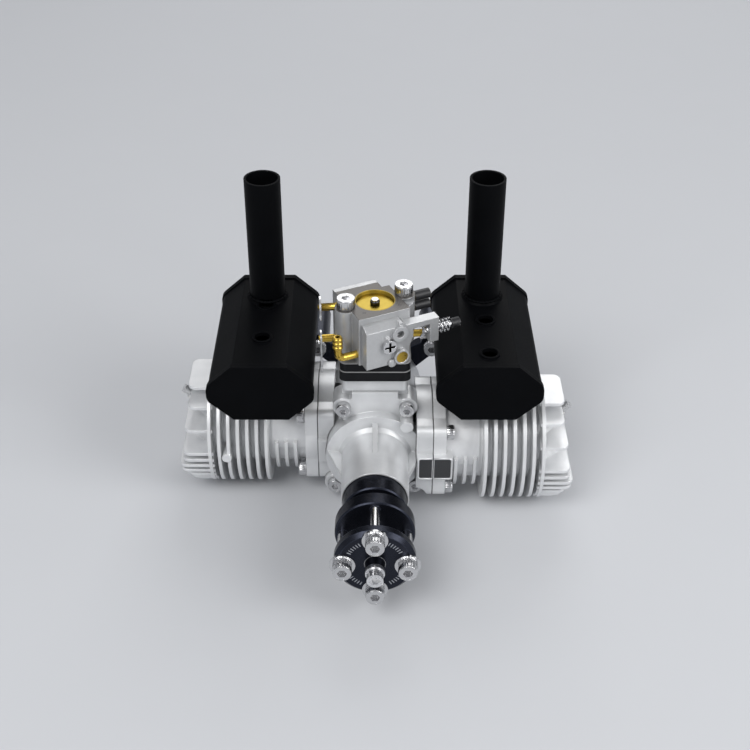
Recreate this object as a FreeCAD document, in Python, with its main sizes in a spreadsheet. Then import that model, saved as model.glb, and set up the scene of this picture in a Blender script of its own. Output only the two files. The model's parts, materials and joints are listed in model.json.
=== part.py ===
import FreeCAD, Part
import math
import os
import Sketcher

# Flat twin-cylinder two-stroke engine. Z is up, the crank axis is the Y axis, the propeller is
# towards -Y, and Y = 0 is the firewall that the rear stand-offs are bolted to.

SIZES = {
    # Crank train
    "bore": 32.0,
    "crank_throw": 12.5,
    "rod_length": 50.0,
    "rod_width": 7.0,
    "cylinder_offset": 14.1,
    "crown_height": 14.0,
    "piston_length": 26.0,
    "piston_clearance": 0.06,
    "ring_height": 1.2,
    "pin_radius": 4.0,
    "pin_boss_wall": 2.4,
    "skirt_wall": 2.2,
    "crown_thickness": 4.5,
    "crankpin_radius": 5.0,
    "big_end_radius": 9.0,
    "small_end_radius": 7.0,
    "needle_wall": 2.0,
    "web_radius": 19.5,
    "web_gap": 0.3,
    "web_thickness": 5.0,
    "web_hole_radius": 3.4,
    "fit": 0.03,
    "screw_gap": 0.05,
    "clearance": 0.3,
    "race_gap": 0.08,
    # Crankcase
    "case_radius": 24.8,
    "case_wall": 2.5,
    "case_front": 16.6,
    "case_rear": 33.7,
    "pad_reach": 28.8,
    "pad_thickness": 8.0,
    "gasket_thickness": 0.5,
    "flange_thickness": 6.2,
    "bolt_y": 20.5,
    "bolt_z": 17.0,
    "boss_radius": 4.4,
    "flange_arc": 26.0,
    "box_reach": 28.3,
    "box_half_height": 6.8,
    "box_case_length": 7.6,
    "box_cylinder_length": 9.4,
    "m4_radius": 2.0,
    "m4_head_radius": 3.5,
    "m4_head_height": 4.0,
    # Front housing
    "plate_thickness": 4.0,
    "disc_length": 8.6,
    "cone_length": 2.8,
    "nose_length": 31.5,
    "nose_root_radius": 17.2,
    "nose_tip_radius": 16.6,
    "nose_lip": 0.8,
    "recess_depth": 4.0,
    "pickup_width": 10.0,
    "pickup_start": 2.0,
    "pickup_length": 11.0,
    "pickup_height": 2.8,
    "lug_x": 15.8,
    "lug_rise": 2.7,
    "low_lug_gap": 0.83,
    "lug_radius": 5.3,
    "lug_web_half": 2.5,
    "pillar_radius": 3.2,
    "pillar_drop": 7.2,
    "rib_length": 17.0,
    "rib_inset": 3.6,
    "apron_half_width": 11.4,
    "apron_rise": 8.6,
    "rib_width": 2.6,
    "shaft_radius": 6.0,
    "bearing_radius": 14.0,
    "bearing_width": 8.0,
    "race_radius": 8.5,
    "seal_width": 4.0,
    # Propeller drive
    "collar_length": 9.6,
    "collar_gap": 0.3,
    "neck_radius": 11.0,
    "hub_neck_length": 7.0,
    "hub_radius": 19.0,
    "drum_length": 7.9,
    "propeller_gap": 15.3,
    "washer_length": 5.3,
    "washer_chamfer": 1.9,
    "hub_shaft_radius": 5.0,
    "prop_bolt_circle": 15.0,
    "m5_radius": 2.5,
    "m5_head_radius": 4.25,
    "m5_head_height": 5.3,
    "small_washer_radius": 6.0,
    "small_washer_height": 1.2,
    "nose_boss_radius": 4.8,
    "nose_boss_length": 4.6,
    "nose_collar_length": 2.2,
    "centre_head_height": 4.5,
    # Rear mount
    "cover_thickness": 6.0,
    "mount_thickness": 6.0,
    "standoff_length": 24.0,
    "standoff_radius": 6.0,
    "standoff_thread": 2.1,
    "standoff_thread_depth": 12.0,
    "mount_bolt_grip": 8.0,
    "mount_x": 30.4,
    "mount_z": 25.0,
    "mount_ring": 17.0,
    "arm_half_width": 6.5,
    # Cylinders
    "cylinder_roof": 84.0,
    "barrel_radius": 21.3,
    "bulge_radius": 22.6,
    "spigot_radius": 18.5,
    "spigot_length": 4.0,
    "fin_radius": 32.0,
    "fin_thickness": 1.7,
    "fin_pitch": 4.78,
    "first_fin": 55.0,
    "small_fin_radius": 25.4,
    "head_radius": 31.0,
    "head_core": 23.0,
    "head_reach": 100.0,
    "head_step": 2.4,
    "fin_corner": 4.0,
    "head_fin_length": 18.0,
    "dome_inset": 5.0,
    "dome_taper": 9.0,
    "small_fin_top": 3.0,
    "pin_boss_radius": 2.4,
    "port_floor": 8.0,
    "upper_fin_pitch": 6.2,
    "lower_fin_pitch": 4.1,
    "tongue_fin_z": 12.4,
    "top_fin_z": 22.0,
    "chamber_depth": 5.5,
    "squish": 1.0,
    "port_x": 55.4,
    "port_radius": 8.0,
    "exhaust_top": 30.4,
    "exhaust_thickness": 4.2,
    "exhaust_bolt_y": 15.0,
    "exhaust_lug_radius": 6.6,
    "exhaust_body_radius": 11.5,
    "plug_angle": 40.0,
    "plug_seat_x": 89.5,
    "plug_seat_z": 12.1,
    "plug_pocket": 8.6,
    "plug_pocket_depth": 26.0,
    "plug_thread_radius": 5.0,
    "plug_thread_length": 9.0,
    "plug_hex_radius": 7.2,
    # Mufflers
    "muffler_half_width": 25.3,
    "muffler_flat": 12.95,
    "muffler_height": 29.3,
    "muffler_side_height": 8.0,
    "muffler_side_round": 5.0,
    "muffler_front": 34.8,
    "muffler_length": 87.0,
    "muffler_wall": 1.2,
    "seam_length": 3.4,
    "seam_step": 0.7,
    "fold_ratio": 0.6,
    "pipe_radius": 9.0,
    "pipe_wall": 1.2,
    "pipe_root": 6.0,
    "pipe_top": 127.1,
    "pipe_back": 32.3,
    "pipe_x": 55.2,
    "access_radius": 3.85,
    "access_collar": 5.0,
    "access_height": 1.0,
    # Intake
    "intake_offset": 4.5,
    "neck_half_width": 16.4,
    "neck_half_depth": 14.6,
    "neck_top": 43.4,
    "neck_corner": 3.0,
    "reed_half_width": 11.0,
    "reed_half_depth": 9.0,
    "reed_depth": 17.0,
    "block_half_width": 17.6,
    "block_half_depth": 16.5,
    "block_corner": 3.6,
    "lower_block": 5.1,
    "upper_block": 4.5,
    "thin_gasket": 0.5,
    "throat_radius": 9.4,
    # Carburettor
    "carb_turn": 25.0,
    "shaft_turn": 6.0,
    "carb_height": 26.0,
    "carb_front": 13.5,
    "carb_back": 14.8,
    "carb_left": 14.7,
    "carb_right": 12.3,
    "carb_bolt_x": 15.5,
    "carb_boss_radius": 5.5,
    "cover_depth": 5.4,
    "cover_left": 13.2,
    "cover_right": 9.6,
    "cover_top": 22.6,
    "cover_step": 2.0,
    "cover_step_low": 8.0,
    "cover_step_high": 13.0,
    "cover_slope_drop": 2.4,
    "bracket_root": 8.0,
    "bracket_foot": 5.6,
    "cap_boss_x": 4.1,
    "cap_boss_z": 17.0,
    "cap_boss_radius": 4.1,
    "cap_boss_height": 1.6,
    "cap_hole_radius": 1.9,
    "cap_hole_depth": 3.0,
    "inlet_x": 4.8,
    "inlet_z": 4.1,
    "inlet_boss_radius": 4.0,
    "inlet_boss_height": 2.2,
    "inlet_plug_radius": 3.0,
    "inlet_plug_length": 4.6,
    "pump_screw_x": 1.7,
    "pump_screw_z": 11.3,
    "pump_screw_radius": 3.6,
    "pump_screw_height": 2.2,
    "pump_shank_radius": 1.95,
    "cross_half_length": 2.7,
    "cross_half_width": 0.6,
    "cross_depth": 1.0,
    "corner_trim": 4.0,
    "metering_thickness": 3.0,
    "metering_x": 3.1,
    "metering_screw_x": 8.5,
    "metering_screw_z": 9.6,
    "metering_screw_radius": 2.2,
    "metering_screw_height": 1.6,
    "metering_shank_radius": 1.2,
    "dish_radius": 7.0,
    "dish_height": 1.2,
    "bracket_reach": 25.4,
    "bracket_low": 7.0,
    "bracket_tab": 4.6,
    "bracket_arm_low": 17.4,
    "bracket_top": 20.4,
    "idle_z": 13.0,
    "idle_y": 16.2,
    "idle_radius": 1.6,
    "idle_tip_x": 19.6,
    "idle_end_x": 33.4,
    "idle_head_length": 4.4,
    "idle_head_radius": 2.5,
    "spring_radius": 2.9,
    "spring_wire": 0.5,
    "spring_turns": 4.0,
    "needle_y": 6.2,
    "high_needle_z": 18.6,
    "low_needle_z": 12.8,
    "needle_radius": 1.3,
    "cap_radius": 2.55,
    "cap_start": 24.0,
    "cap_end": 32.6,
    "choke_z": 23.6,
    "throttle_z": 5.6,
    "butterfly_radius": 9.1,
    "butterfly_thickness": 1.0,
    "carb_shaft_radius": 1.9,
    "lever_x": 27.2,
    "lever_thickness": 0.9,
    "throttle_lever_up": 4.2,
    "throttle_lever_down": 18.0,
    "choke_lever_half": 5.4,
    "lever_hole": 0.6,
    "stop_x": 22.4,
    "stop_thickness": 1.6,
    "stop_arm": 9.6,
    "stop_angle": 50.0,
    "elbow_x": 24.6,
    "elbow_y": 10.5,
    "elbow_z": 5.0,
    "elbow_radius": 1.9,
    "elbow_bend": 3.6,
    "elbow_top": 17.6,
    "barb_radius": 2.4,
}

doc = FreeCAD.newDocument("flat_twin_engine")
sheet = doc.addObject("Spreadsheet::Sheet", "dims")


class Size:
    """A length that carries its value and the sheet formula that gives it."""

    def __init__(self, text, value):
        self.text = text
        self.value = value

    def __add__(self, other):
        return Size(f"({self.text} + {text_of(other)})", self.value + value_of(other))

    def __radd__(self, other):
        return Size(f"({text_of(other)} + {self.text})", value_of(other) + self.value)

    def __sub__(self, other):
        return Size(f"({self.text} - {text_of(other)})", self.value - value_of(other))

    def __rsub__(self, other):
        return Size(f"({text_of(other)} - {self.text})", value_of(other) - self.value)

    def __mul__(self, other):
        return Size(f"({self.text} * {text_of(other)})", self.value * value_of(other))

    __rmul__ = __mul__

    def __truediv__(self, other):
        return Size(f"({self.text} / {text_of(other)})", self.value / value_of(other))

    def __neg__(self):
        return Size(f"(0 - {self.text})", -self.value)


def text_of(size):
    return size.text if isinstance(size, Size) else f"({size!r})"


def value_of(size):
    return size.value if isinstance(size, Size) else size


def turn_cos(angle):
    return Size(f"cos({angle.text})", math.cos(math.radians(angle.value)))


def turn_sin(angle):
    return Size(f"sin({angle.text})", math.sin(math.radians(angle.value)))


class Dims:
    """The driving dimensions, each written to the sheet once under its own alias."""

    def __init__(self, sizes):
        for row, (alias, value) in enumerate(sizes.items(), start=1):
            sheet.set(f"A{row}", alias)
            sheet.set(f"B{row}", str(value))
            sheet.setAlias(f"B{row}", alias)
            setattr(self, alias, Size(f"dims.{alias}", value))


d = Dims(SIZES)
doc.recompute()

# Places that several pieces share
mid_y = -(d.standoff_length + d.mount_thickness + d.cover_thickness + d.case_rear)
left_y = mid_y + d.cylinder_offset / 2
right_y = mid_y - d.cylinder_offset / 2
housing_y = mid_y - d.case_front
nose_root_y = housing_y - d.disc_length - d.cone_length
nose_tip_y = nose_root_y - d.nose_length
recess_y = nose_tip_y + d.recess_depth
lug_z = d.case_radius + d.lug_rise
low_lug = (d.case_radius + d.m4_head_radius + d.low_lug_gap) * math.cos(math.radians(45))
case_side = d.pad_reach - d.pad_thickness
collar_y = nose_tip_y - d.collar_length
drum_back_y = collar_y - d.hub_neck_length
drum_front_y = drum_back_y - d.drum_length
washer_back_y = drum_front_y - d.propeller_gap
washer_front_y = washer_back_y - d.washer_length
rear_wall_y = mid_y + d.case_front
cover_y = mid_y + d.case_rear
mount_y = cover_y + d.cover_thickness
standoff_y = mount_y + d.mount_thickness
flange_start = d.pad_reach + d.gasket_thickness
flange_end = flange_start + d.flange_thickness
pin_x = d.crank_throw + d.rod_length
crown_x = pin_x + d.crown_height
deck_x = crown_x + d.squish
muffler_low = d.exhaust_top + d.gasket_thickness
muffler_mid = muffler_low + d.muffler_height / 2
muffler_high = muffler_low + d.muffler_height
intake_y = mid_y - d.intake_offset
upper_block_z = d.neck_top + d.lower_block + d.thin_gasket
carb_z = upper_block_z + d.upper_block + d.thin_gasket

WAYS = {
    "+x": (1, 0, 0), "-x": (-1, 0, 0), "+y": (0, 1, 0),
    "-y": (0, -1, 0), "+z": (0, 0, 1), "-z": (0, 0, -1),
}
NODES = []


def place(thing, spot):
    """Binds the thing's base point to a place given as three sizes."""
    for axis, size in zip("xyz", spot):
        thing.setExpression(f"Placement.Base.{axis}", text_of(size))
    return thing


def aim(thing, way):
    """Turns the thing's own Z axis to one of the six main directions."""
    thing.Placement.Rotation = FreeCAD.Rotation(FreeCAD.Vector(0, 0, 1), FreeCAD.Vector(*WAYS[way]))
    return thing


def bind(thing, **sizes):
    for name, size in sizes.items():
        thing.setExpression(name, text_of(size))
    return thing


def rod(radius, length, spot, way="+z"):
    """A solid cylinder of a given length that starts at a spot and runs one way."""
    return place(aim(bind(doc.addObject("Part::Cylinder", "rod"), Radius=radius, Height=length), way), spot)


def cone(start_radius, end_radius, length, spot, way="+z"):
    piece = doc.addObject("Part::Cone", "cone")
    bind(piece, Radius1=start_radius, Radius2=end_radius, Height=length)
    return place(aim(piece, way), spot)


def box(low, high):
    """A box between its lowest and highest corner."""
    length, width, height = (b - a for a, b in zip(low, high))
    return place(bind(doc.addObject("Part::Box", "box"), Length=length, Width=width, Height=height), low)


def hexagon(radius, length, spot, way="+z"):
    piece = bind(doc.addObject("Part::Prism", "hexagon"), Circumradius=radius, Height=length)
    piece.Polygon = 6
    return place(aim(piece, way), spot)


def fuse(*parts):
    piece = doc.addObject("Part::MultiFuse", "joined")
    piece.Shapes = list(parts)
    return piece


def cut(base, *tools):
    piece = doc.addObject("Part::Cut", "cut")
    piece.Base = base
    piece.Tool = tools[0] if len(tools) == 1 else fuse(*tools)
    return piece


def common(first, second):
    piece = doc.addObject("Part::MultiCommon", "common")
    piece.Shapes = [first, second]
    return piece


def separate(*parts):
    """Solids of one node that stay apart."""
    piece = doc.addObject("Part::Compound", "set")
    piece.Links = list(parts)
    return piece


def ring(outer, inner, length, spot, way="+z"):
    return cut(rod(outer, length, spot, way), rod(inner, length, spot, way))


def node(label, piece):
    """Gives a finished sub-part the name of its file."""
    piece.Label = label
    NODES.append(piece)
    return piece


def framed(piece, spot, angle):
    """Sets a piece, built at the origin, at a spot and turned about Z."""
    for axis, size in zip("xyz", spot):
        piece.setExpression(f"Placement.Base.{axis}", text_of(size))
    piece.setExpression("Placement.Rotation.Angle", text_of(angle))
    return piece


def new_body(name):
    return doc.addObject("PartDesign::Body", name)


def sketch_on(body, role, offset=0.0):
    """A sketch on one of the body's own origin planes, moved along that plane's normal."""
    sketch = body.newObject("Sketcher::SketchObject", "profile")
    plane = next(item for item in body.Origin.OriginFeatures if item.Role == role)
    sketch.AttachmentSupport = (plane, [""])
    sketch.MapMode = "FlatFace"
    sketch.setExpression("AttachmentOffset.Base.z", text_of(offset))
    return sketch


def pin_point(sketch, geometry, end, across, up):
    """Holds one point of a sketch at its two sizes."""
    for kind, axis, size in (("DistanceX", -2, across), ("DistanceY", -1, up)):
        if abs(value_of(size)) < 1e-9:
            sketch.addConstraint(Sketcher.Constraint("PointOnObject", geometry, end, axis))
        else:
            index = sketch.addConstraint(
                Sketcher.Constraint(kind, -1, 1, geometry, end, value_of(size)))
            sketch.setExpression(f"Constraints[{index}]", text_of(size))


def outline(sketch, points):
    """A closed outline of straight lines through the given points."""
    corners = [FreeCAD.Vector(value_of(a), value_of(b), 0) for a, b in points]
    first = sketch.GeometryCount
    count = len(corners)
    for k in range(count):
        sketch.addGeometry(Part.LineSegment(corners[k], corners[(k + 1) % count]))
    for k in range(count):
        following = first + (k + 1) % count
        sketch.addConstraint(Sketcher.Constraint("Coincident", first + k, 2, following, 1))
    for k, (across, up) in enumerate(points):
        pin_point(sketch, first + k, 1, across, up)
    return sketch


def circle(sketch, radius, across=0.0, up=0.0):
    middle = FreeCAD.Vector(value_of(across), value_of(up), 0)
    index = sketch.addGeometry(Part.Circle(middle, FreeCAD.Vector(0, 0, 1), value_of(radius)))
    pin_point(sketch, index, 3, across, up)
    held = sketch.addConstraint(Sketcher.Constraint("Radius", index, value_of(radius)))
    sketch.setExpression(f"Constraints[{held}]", text_of(radius))
    return sketch


def feature(body, kind, sketch, length, backwards=False):
    """A Pad or Pocket of a sketch."""
    item = body.newObject(f"PartDesign::{kind}", kind.lower())
    item.Profile = sketch
    item.setExpression("Length", text_of(length))
    item.Reversed = backwards
    body.Tip = item
    return item


def turned(body, kind, sketch, axis):
    """A Revolution or Groove of a sketch about its own H_Axis or V_Axis."""
    item = body.newObject(f"PartDesign::{kind}", kind.lower())
    item.Profile = sketch
    item.ReferenceAxis = (sketch, [axis])
    item.Angle = 360
    body.Tip = item
    return item


def repeated(body, original, sketch, count):
    """A full-circle pattern of one feature about its sketch's normal."""
    item = body.newObject("PartDesign::PolarPattern", "pattern")
    item.Originals = [original]
    item.Axis = (sketch, ["N_Axis"])
    item.Angle = 360
    item.Occurrences = count
    body.Tip = item
    return item


def socket_screw(head_radius, head_height, shank_radius, shank_length, spot, way):
    """A socket-head screw: the spot is the middle of the seat, the shank runs the given way."""
    back = {"+": "-", "-": "+"}[way[0]] + way[1]
    step = WAYS[back]
    top = [s + head_height * k for s, k in zip(spot, step)]
    head = cut(rod(head_radius, head_height, spot, back),
               hexagon(head_radius * 0.55, head_height / 2, top, way))
    return fuse(head, rod(shank_radius, shank_length, spot, way))


def flange_outline(start, length, way, axis_y):
    """The rounded four-boss outline shared by a cylinder flange, its gasket and its pad."""
    x = start
    bosses = [rod(d.boss_radius, length, (x, axis_y + sy * d.bolt_y, sz * d.bolt_z), way)
              for sy in (-1, 1) for sz in (-1, 1)]
    sign = 1 if way == "+x" else -1
    far = start + length * sign
    low_x, high_x = (start, far) if sign > 0 else (far, start)
    reach_y = d.bolt_y + d.boss_radius
    reach_z = d.bolt_z + d.boss_radius
    wide = box((low_x, axis_y - reach_y, -d.bolt_z), (high_x, axis_y + reach_y, d.bolt_z))
    tall = box((low_x, axis_y - d.bolt_y, -reach_z), (high_x, axis_y + d.bolt_y, reach_z))
    return fuse(rod(d.flange_arc, length, (x, axis_y, 0.0), way), wide, tall, *bosses)


def bolt_holes(start, length, way, axis_y):
    return [rod(d.m4_radius + 0.1, length, (start, axis_y + sy * d.bolt_y, sz * d.bolt_z), way)
            for sy in (-1, 1) for sz in (-1, 1)]


def rounded_block(half_width, half_depth, corner, low_z, height, middle_y):
    """An upright block with rounded corners, padded from a sketch with corner posts."""
    posts = [rod(corner, height, (sx * (half_width - corner), middle_y + sy * (half_depth - corner), low_z))
             for sx in (-1, 1) for sy in (-1, 1)]
    inner_x = half_width - corner
    inner_y = half_depth - corner
    high_z = low_z + height
    wide = box((-half_width, middle_y - inner_y, low_z), (half_width, middle_y + inner_y, high_z))
    deep = box((-inner_x, middle_y - half_depth, low_z), (inner_x, middle_y + half_depth, high_z))
    return fuse(wide, deep, *posts)


# Crankcase: a drum along the crank axis, a pad for each cylinder and the intake neck on top
def make_crankcase():
    drum = rod(d.case_radius, d.case_front + d.case_rear, (0.0, housing_y, 0.0), "+y")
    pads = []
    for sign, way, axis_y in ((-1, "+x", left_y), (1, "-x", right_y)):
        face = sign * d.pad_reach
        pads.append(flange_outline(face, d.pad_thickness, way, axis_y))
        inner = sign * (d.pad_reach - d.box_case_length)
        low_x, high_x = (inner, face) if sign > 0 else (face, inner)
        pads.append(box((low_x, axis_y - d.box_reach, -d.box_half_height),
                        (high_x, axis_y, d.box_half_height)))
    neck = rounded_block(d.neck_half_width, d.neck_half_depth, d.neck_corner, 0.0, d.neck_top, intake_y)
    lug_length = d.plate_thickness * 2
    lugs = [rod(d.lug_radius, lug_length, (x, housing_y, z), "+y") for x, z in housing_places()]
    webs = [box((sx * d.lug_x - d.lug_web_half, housing_y, 0.0),
                (sx * d.lug_x + d.lug_web_half, housing_y + lug_length, lug_z)) for sx in (-1, 1)]
    shell = fuse(drum, neck, *pads, *lugs, *webs)
    chamber_length = d.case_front * 2
    hollows = [
        rod(d.case_radius - d.case_wall, chamber_length, (0.0, housing_y, 0.0), "+y"),
        rod(d.bearing_radius, d.bearing_width, (0.0, rear_wall_y, 0.0), "+y"),
        rod(d.bearing_radius + 3.0, d.case_rear - d.case_front - d.bearing_width,
            (0.0, rear_wall_y + d.bearing_width, 0.0), "+y"),
        rod(d.spigot_radius + d.fit, d.pad_reach, (-d.pad_reach, left_y, 0.0), "+x"),
        rod(d.spigot_radius + d.fit, d.pad_reach, (d.pad_reach, right_y, 0.0), "-x"),
        box((-d.reed_half_width, intake_y - d.reed_half_depth, d.neck_top - d.reed_depth - 10.0),
            (d.reed_half_width, intake_y + d.reed_half_depth, d.neck_top)),
    ]
    node("crankcase", cut(shell, *hollows, *housing_room()))


def housing_places():
    """The four bolt places of the front housing, in X and Z."""
    return [(sx * x, z) for x, z in ((d.lug_x, lug_z), (low_lug, -low_lug)) for sx in (-1, 1)]


def housing_room():
    """The space ahead of the case's front face that the front housing takes up, with clearance."""
    length = d.box_reach
    reach = d.case_radius + d.clearance
    disc = rod(reach, length, (0.0, housing_y, 0.0), "-y")
    room = [common(disc, box((-reach, housing_y - length, -reach), (case_side, housing_y, reach)))]
    for x, z in housing_places():
        room.append(rod(d.lug_radius + d.clearance, length, (x, housing_y, z), "-y"))
    room.append(box((-case_side, housing_y - length, -d.case_radius),
                    (case_side, housing_y, lug_z + d.apron_rise + d.clearance)))
    return room


# Front housing: a lugged plate and disc that narrow to the bearing nose, with stiffening ribs
def make_front_housing():
    body = new_body("front_housing_casting")
    tip = nose_tip_y
    profile = sketch_on(body, "XY_Plane")
    outline(profile, [
        (0.0, housing_y), (d.case_radius, housing_y), (d.case_radius, housing_y - d.disc_length),
        (d.nose_root_radius + 1.6, housing_y - d.disc_length - 0.6), (d.nose_root_radius, nose_root_y),
        (d.nose_tip_radius, tip), (0.0, tip)])
    turned(body, "Revolution", profile, "V_Axis")
    lug_sketch = sketch_on(body, "XZ_Plane", -housing_y)
    for x, z in housing_places():
        circle(lug_sketch, d.lug_radius, x, z)
    feature(body, "Pad", lug_sketch, d.plate_thickness)
    top_sketch = sketch_on(body, "XZ_Plane", -housing_y)
    wide = d.apron_half_width
    outline(top_sketch, [
        (-d.lug_x, d.bearing_radius / 2), (d.lug_x, d.bearing_radius / 2),
        (d.lug_x, lug_z + d.lug_web_half),
        (wide, lug_z + d.lug_radius), (wide, lug_z + d.apron_rise), (-wide, lug_z + d.apron_rise),
        (-wide, lug_z + d.lug_radius), (-d.lug_x, lug_z + d.lug_web_half)])
    feature(body, "Pad", top_sketch, d.plate_thickness)
    half = d.lug_radius * 0.8
    for x, z in housing_places():
        link = sketch_on(body, "XZ_Plane", -housing_y)
        outline(link, [(x - half, z), (x + half, z),
                       ((x + half) * 0.5, z * 0.4), ((x - half) * 0.5, z * 0.4)])
        feature(body, "Pad", link, d.plate_thickness)
    disc_y = housing_y - d.disc_length
    rib_end = nose_root_y - d.rib_length
    rib_low = d.nose_root_radius - 3.0
    rib = sketch_on(body, "YZ_Plane", -d.rib_width / 2)
    outline(rib, [
        (disc_y + 1.0, rib_low), (disc_y + 1.0, d.case_radius - d.rib_inset),
        (disc_y - 3.0, d.case_radius - d.rib_inset), (rib_end, d.nose_root_radius - 0.6),
        (rib_end, rib_low)])
    feature(body, "Pad", rib, d.rib_width)
    for sx in (-1, 1):
        gusset = sketch_on(body, "XY_Plane", 1.0)
        outline(gusset, [
            (sx * rib_low, disc_y + 1.0), (sx * (d.case_radius - 0.6), disc_y + 1.0),
            (sx * (d.case_radius - 1.6), disc_y - 2.0), (sx * (d.nose_root_radius - 0.6), rib_end),
            (sx * rib_low, rib_end)])
        feature(body, "Pad", gusset, d.rib_width)
    casting = fuse(body, rod(d.pillar_radius, d.disc_length + 3.0,
                             (d.lug_x, housing_y, lug_z - d.pillar_drop), "-y"))
    cavity_y = housing_y - d.bearing_width
    seal_back_y = recess_y + d.seal_width
    nose_bearing_y = seal_back_y + d.bearing_width
    hollows = [
        rod(d.bearing_radius, d.bearing_width, (0.0, housing_y, 0.0), "-y"),
        rod(d.bearing_radius - 3.0, cavity_y - nose_bearing_y, (0.0, cavity_y, 0.0), "-y"),
        rod(d.bearing_radius, d.bearing_width + d.seal_width, (0.0, nose_bearing_y, 0.0), "-y"),
        rod(d.nose_tip_radius - d.nose_lip, d.recess_depth, (0.0, recess_y, 0.0), "-y"),
        box((case_side - d.clearance, rib_end, -low_lug + d.lug_radius),
            (d.case_radius + 1.0, housing_y, d.case_radius)),
    ]
    holes = [rod(d.m4_radius + 0.1, d.plate_thickness, (x, housing_y, z), "-y")
             for x, z in housing_places()]
    node("front_housing", cut(casting, *hollows, *holes))


def bearing_places():
    """The rear face of each of the three ball bearings."""
    return (housing_y, recess_y + d.seal_width + d.bearing_width, rear_wall_y + d.bearing_width)


def make_bearings():
    outers = [ring(d.bearing_radius - d.fit, d.race_radius + d.race_gap, d.bearing_width,
                   (0.0, y, 0.0), "-y") for y in bearing_places()]
    inners = [ring(d.race_radius, d.shaft_radius + d.fit, d.bearing_width, (0.0, y, 0.0), "-y")
              for y in bearing_places()]
    node("bearing_outer_rings", separate(*outers))
    node("bearing_inner_rings", separate(*inners))
    node("front_oil_seal", ring(d.bearing_radius - d.fit, d.shaft_radius + 0.06, d.seal_width,
                                (0.0, recess_y + d.seal_width, 0.0), "-y"))


# Crankshaft: the front web with its long shaft, a middle web and a rear web with a short journal
def make_crankshaft():
    half_rod = d.rod_width / 2 + d.web_gap
    front_web_y = right_y - half_rod
    body = new_body("crankshaft_forging")
    profile = sketch_on(body, "XY_Plane")
    step_y = recess_y - 1.0
    outline(profile, [
        (0.0, front_web_y), (d.web_radius, front_web_y), (d.web_radius, front_web_y - d.web_thickness),
        (d.race_radius - 0.5, front_web_y - d.web_thickness), (d.race_radius - 0.5, housing_y + 0.05),
        (d.shaft_radius, housing_y + 0.05), (d.shaft_radius, step_y), (d.hub_shaft_radius, step_y),
        (d.hub_shaft_radius, washer_front_y), (0.0, washer_front_y)])
    turned(body, "Revolution", profile, "V_Axis")
    relief = sketch_on(body, "XZ_Plane", -front_web_y)
    circle(relief, d.web_hole_radius, 0.0, d.crank_throw)
    cut_out = feature(body, "Pocket", relief, d.web_thickness, backwards=True)
    repeated(body, cut_out, relief, 2)
    node("crankshaft", body)
    middle_low = right_y + half_rod
    middle = left_y - half_rod - middle_low
    holes = [rod(d.web_hole_radius, middle, (0.0, middle_low, sz * d.crank_throw), "+y") for sz in (-1, 1)]
    node("middle_crank_web", cut(rod(d.web_radius, middle, (0.0, middle_low, 0.0), "+y"), *holes))
    rear_web_y = left_y + half_rod
    journal_y = rear_web_y + d.web_thickness
    web = rod(d.web_radius, d.web_thickness, (0.0, rear_web_y, 0.0), "+y")
    shoulder = rod(d.race_radius - 0.5, rear_wall_y - 0.05 - journal_y, (0.0, journal_y, 0.0), "+y")
    journal = rod(d.shaft_radius, rear_wall_y + d.bearing_width - journal_y, (0.0, journal_y, 0.0), "+y")
    rear_holes = [rod(d.web_hole_radius, d.web_thickness, (0.0, rear_web_y, sz * d.crank_throw), "+y")
                  for sz in (-1, 1)]
    node("rear_crank_web", cut(fuse(web, shoulder, journal), *rear_holes))


# Propeller drive: the hub on the shaft, the washer that clamps the propeller, and their bolts
def make_drive_hub():
    body = new_body("drive_hub_turning")
    profile = sketch_on(body, "XY_Plane")
    collar_radius = d.nose_tip_radius - d.nose_lip - d.collar_gap
    bore = d.hub_shaft_radius + d.fit
    back = recess_y - 1.0
    outline(profile, [
        (bore, back), (collar_radius, back), (collar_radius, collar_y + 0.6),
        (collar_radius - 0.6, collar_y),
        (d.neck_radius, collar_y), (d.neck_radius, drum_back_y), (d.hub_radius - 0.6, drum_back_y),
        (d.hub_radius, drum_back_y - 0.6), (d.hub_radius, drum_front_y + 0.6),
        (d.hub_radius - 0.6, drum_front_y), (bore, drum_front_y)])
    turned(body, "Revolution", profile, "V_Axis")
    hole = sketch_on(body, "XZ_Plane", -drum_front_y)
    circle(hole, d.m5_radius + d.fit, 0.0, d.prop_bolt_circle)
    drilled = feature(body, "Pocket", hole, d.drum_length)
    repeated(body, drilled, hole, 4)
    magnet_y = nose_tip_y - 4.0
    seat = rod(2.0, 2.0, (0.0, magnet_y, collar_radius - 2.2), "+z")
    magnet = rod(1.97, 1.9, (0.0, magnet_y, collar_radius - 2.17), "+z")
    node("drive_hub", separate(cut(body, seat), magnet))


def make_propeller_washer():
    body = new_body("propeller_washer_turning")
    profile = sketch_on(body, "XY_Plane")
    bore = d.hub_shaft_radius + d.fit
    outline(profile, [
        (bore, washer_back_y), (d.hub_radius, washer_back_y),
        (d.hub_radius, washer_front_y + d.washer_chamfer),
        (d.hub_radius - d.washer_chamfer, washer_front_y), (bore, washer_front_y)])
    turned(body, "Revolution", profile, "V_Axis")
    hole = sketch_on(body, "XZ_Plane", -washer_front_y)
    circle(hole, d.m5_radius + d.fit, 0.0, d.prop_bolt_circle)
    drilled = feature(body, "Pocket", hole, d.washer_length)
    repeated(body, drilled, hole, 4)
    node("propeller_washer", body)


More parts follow.
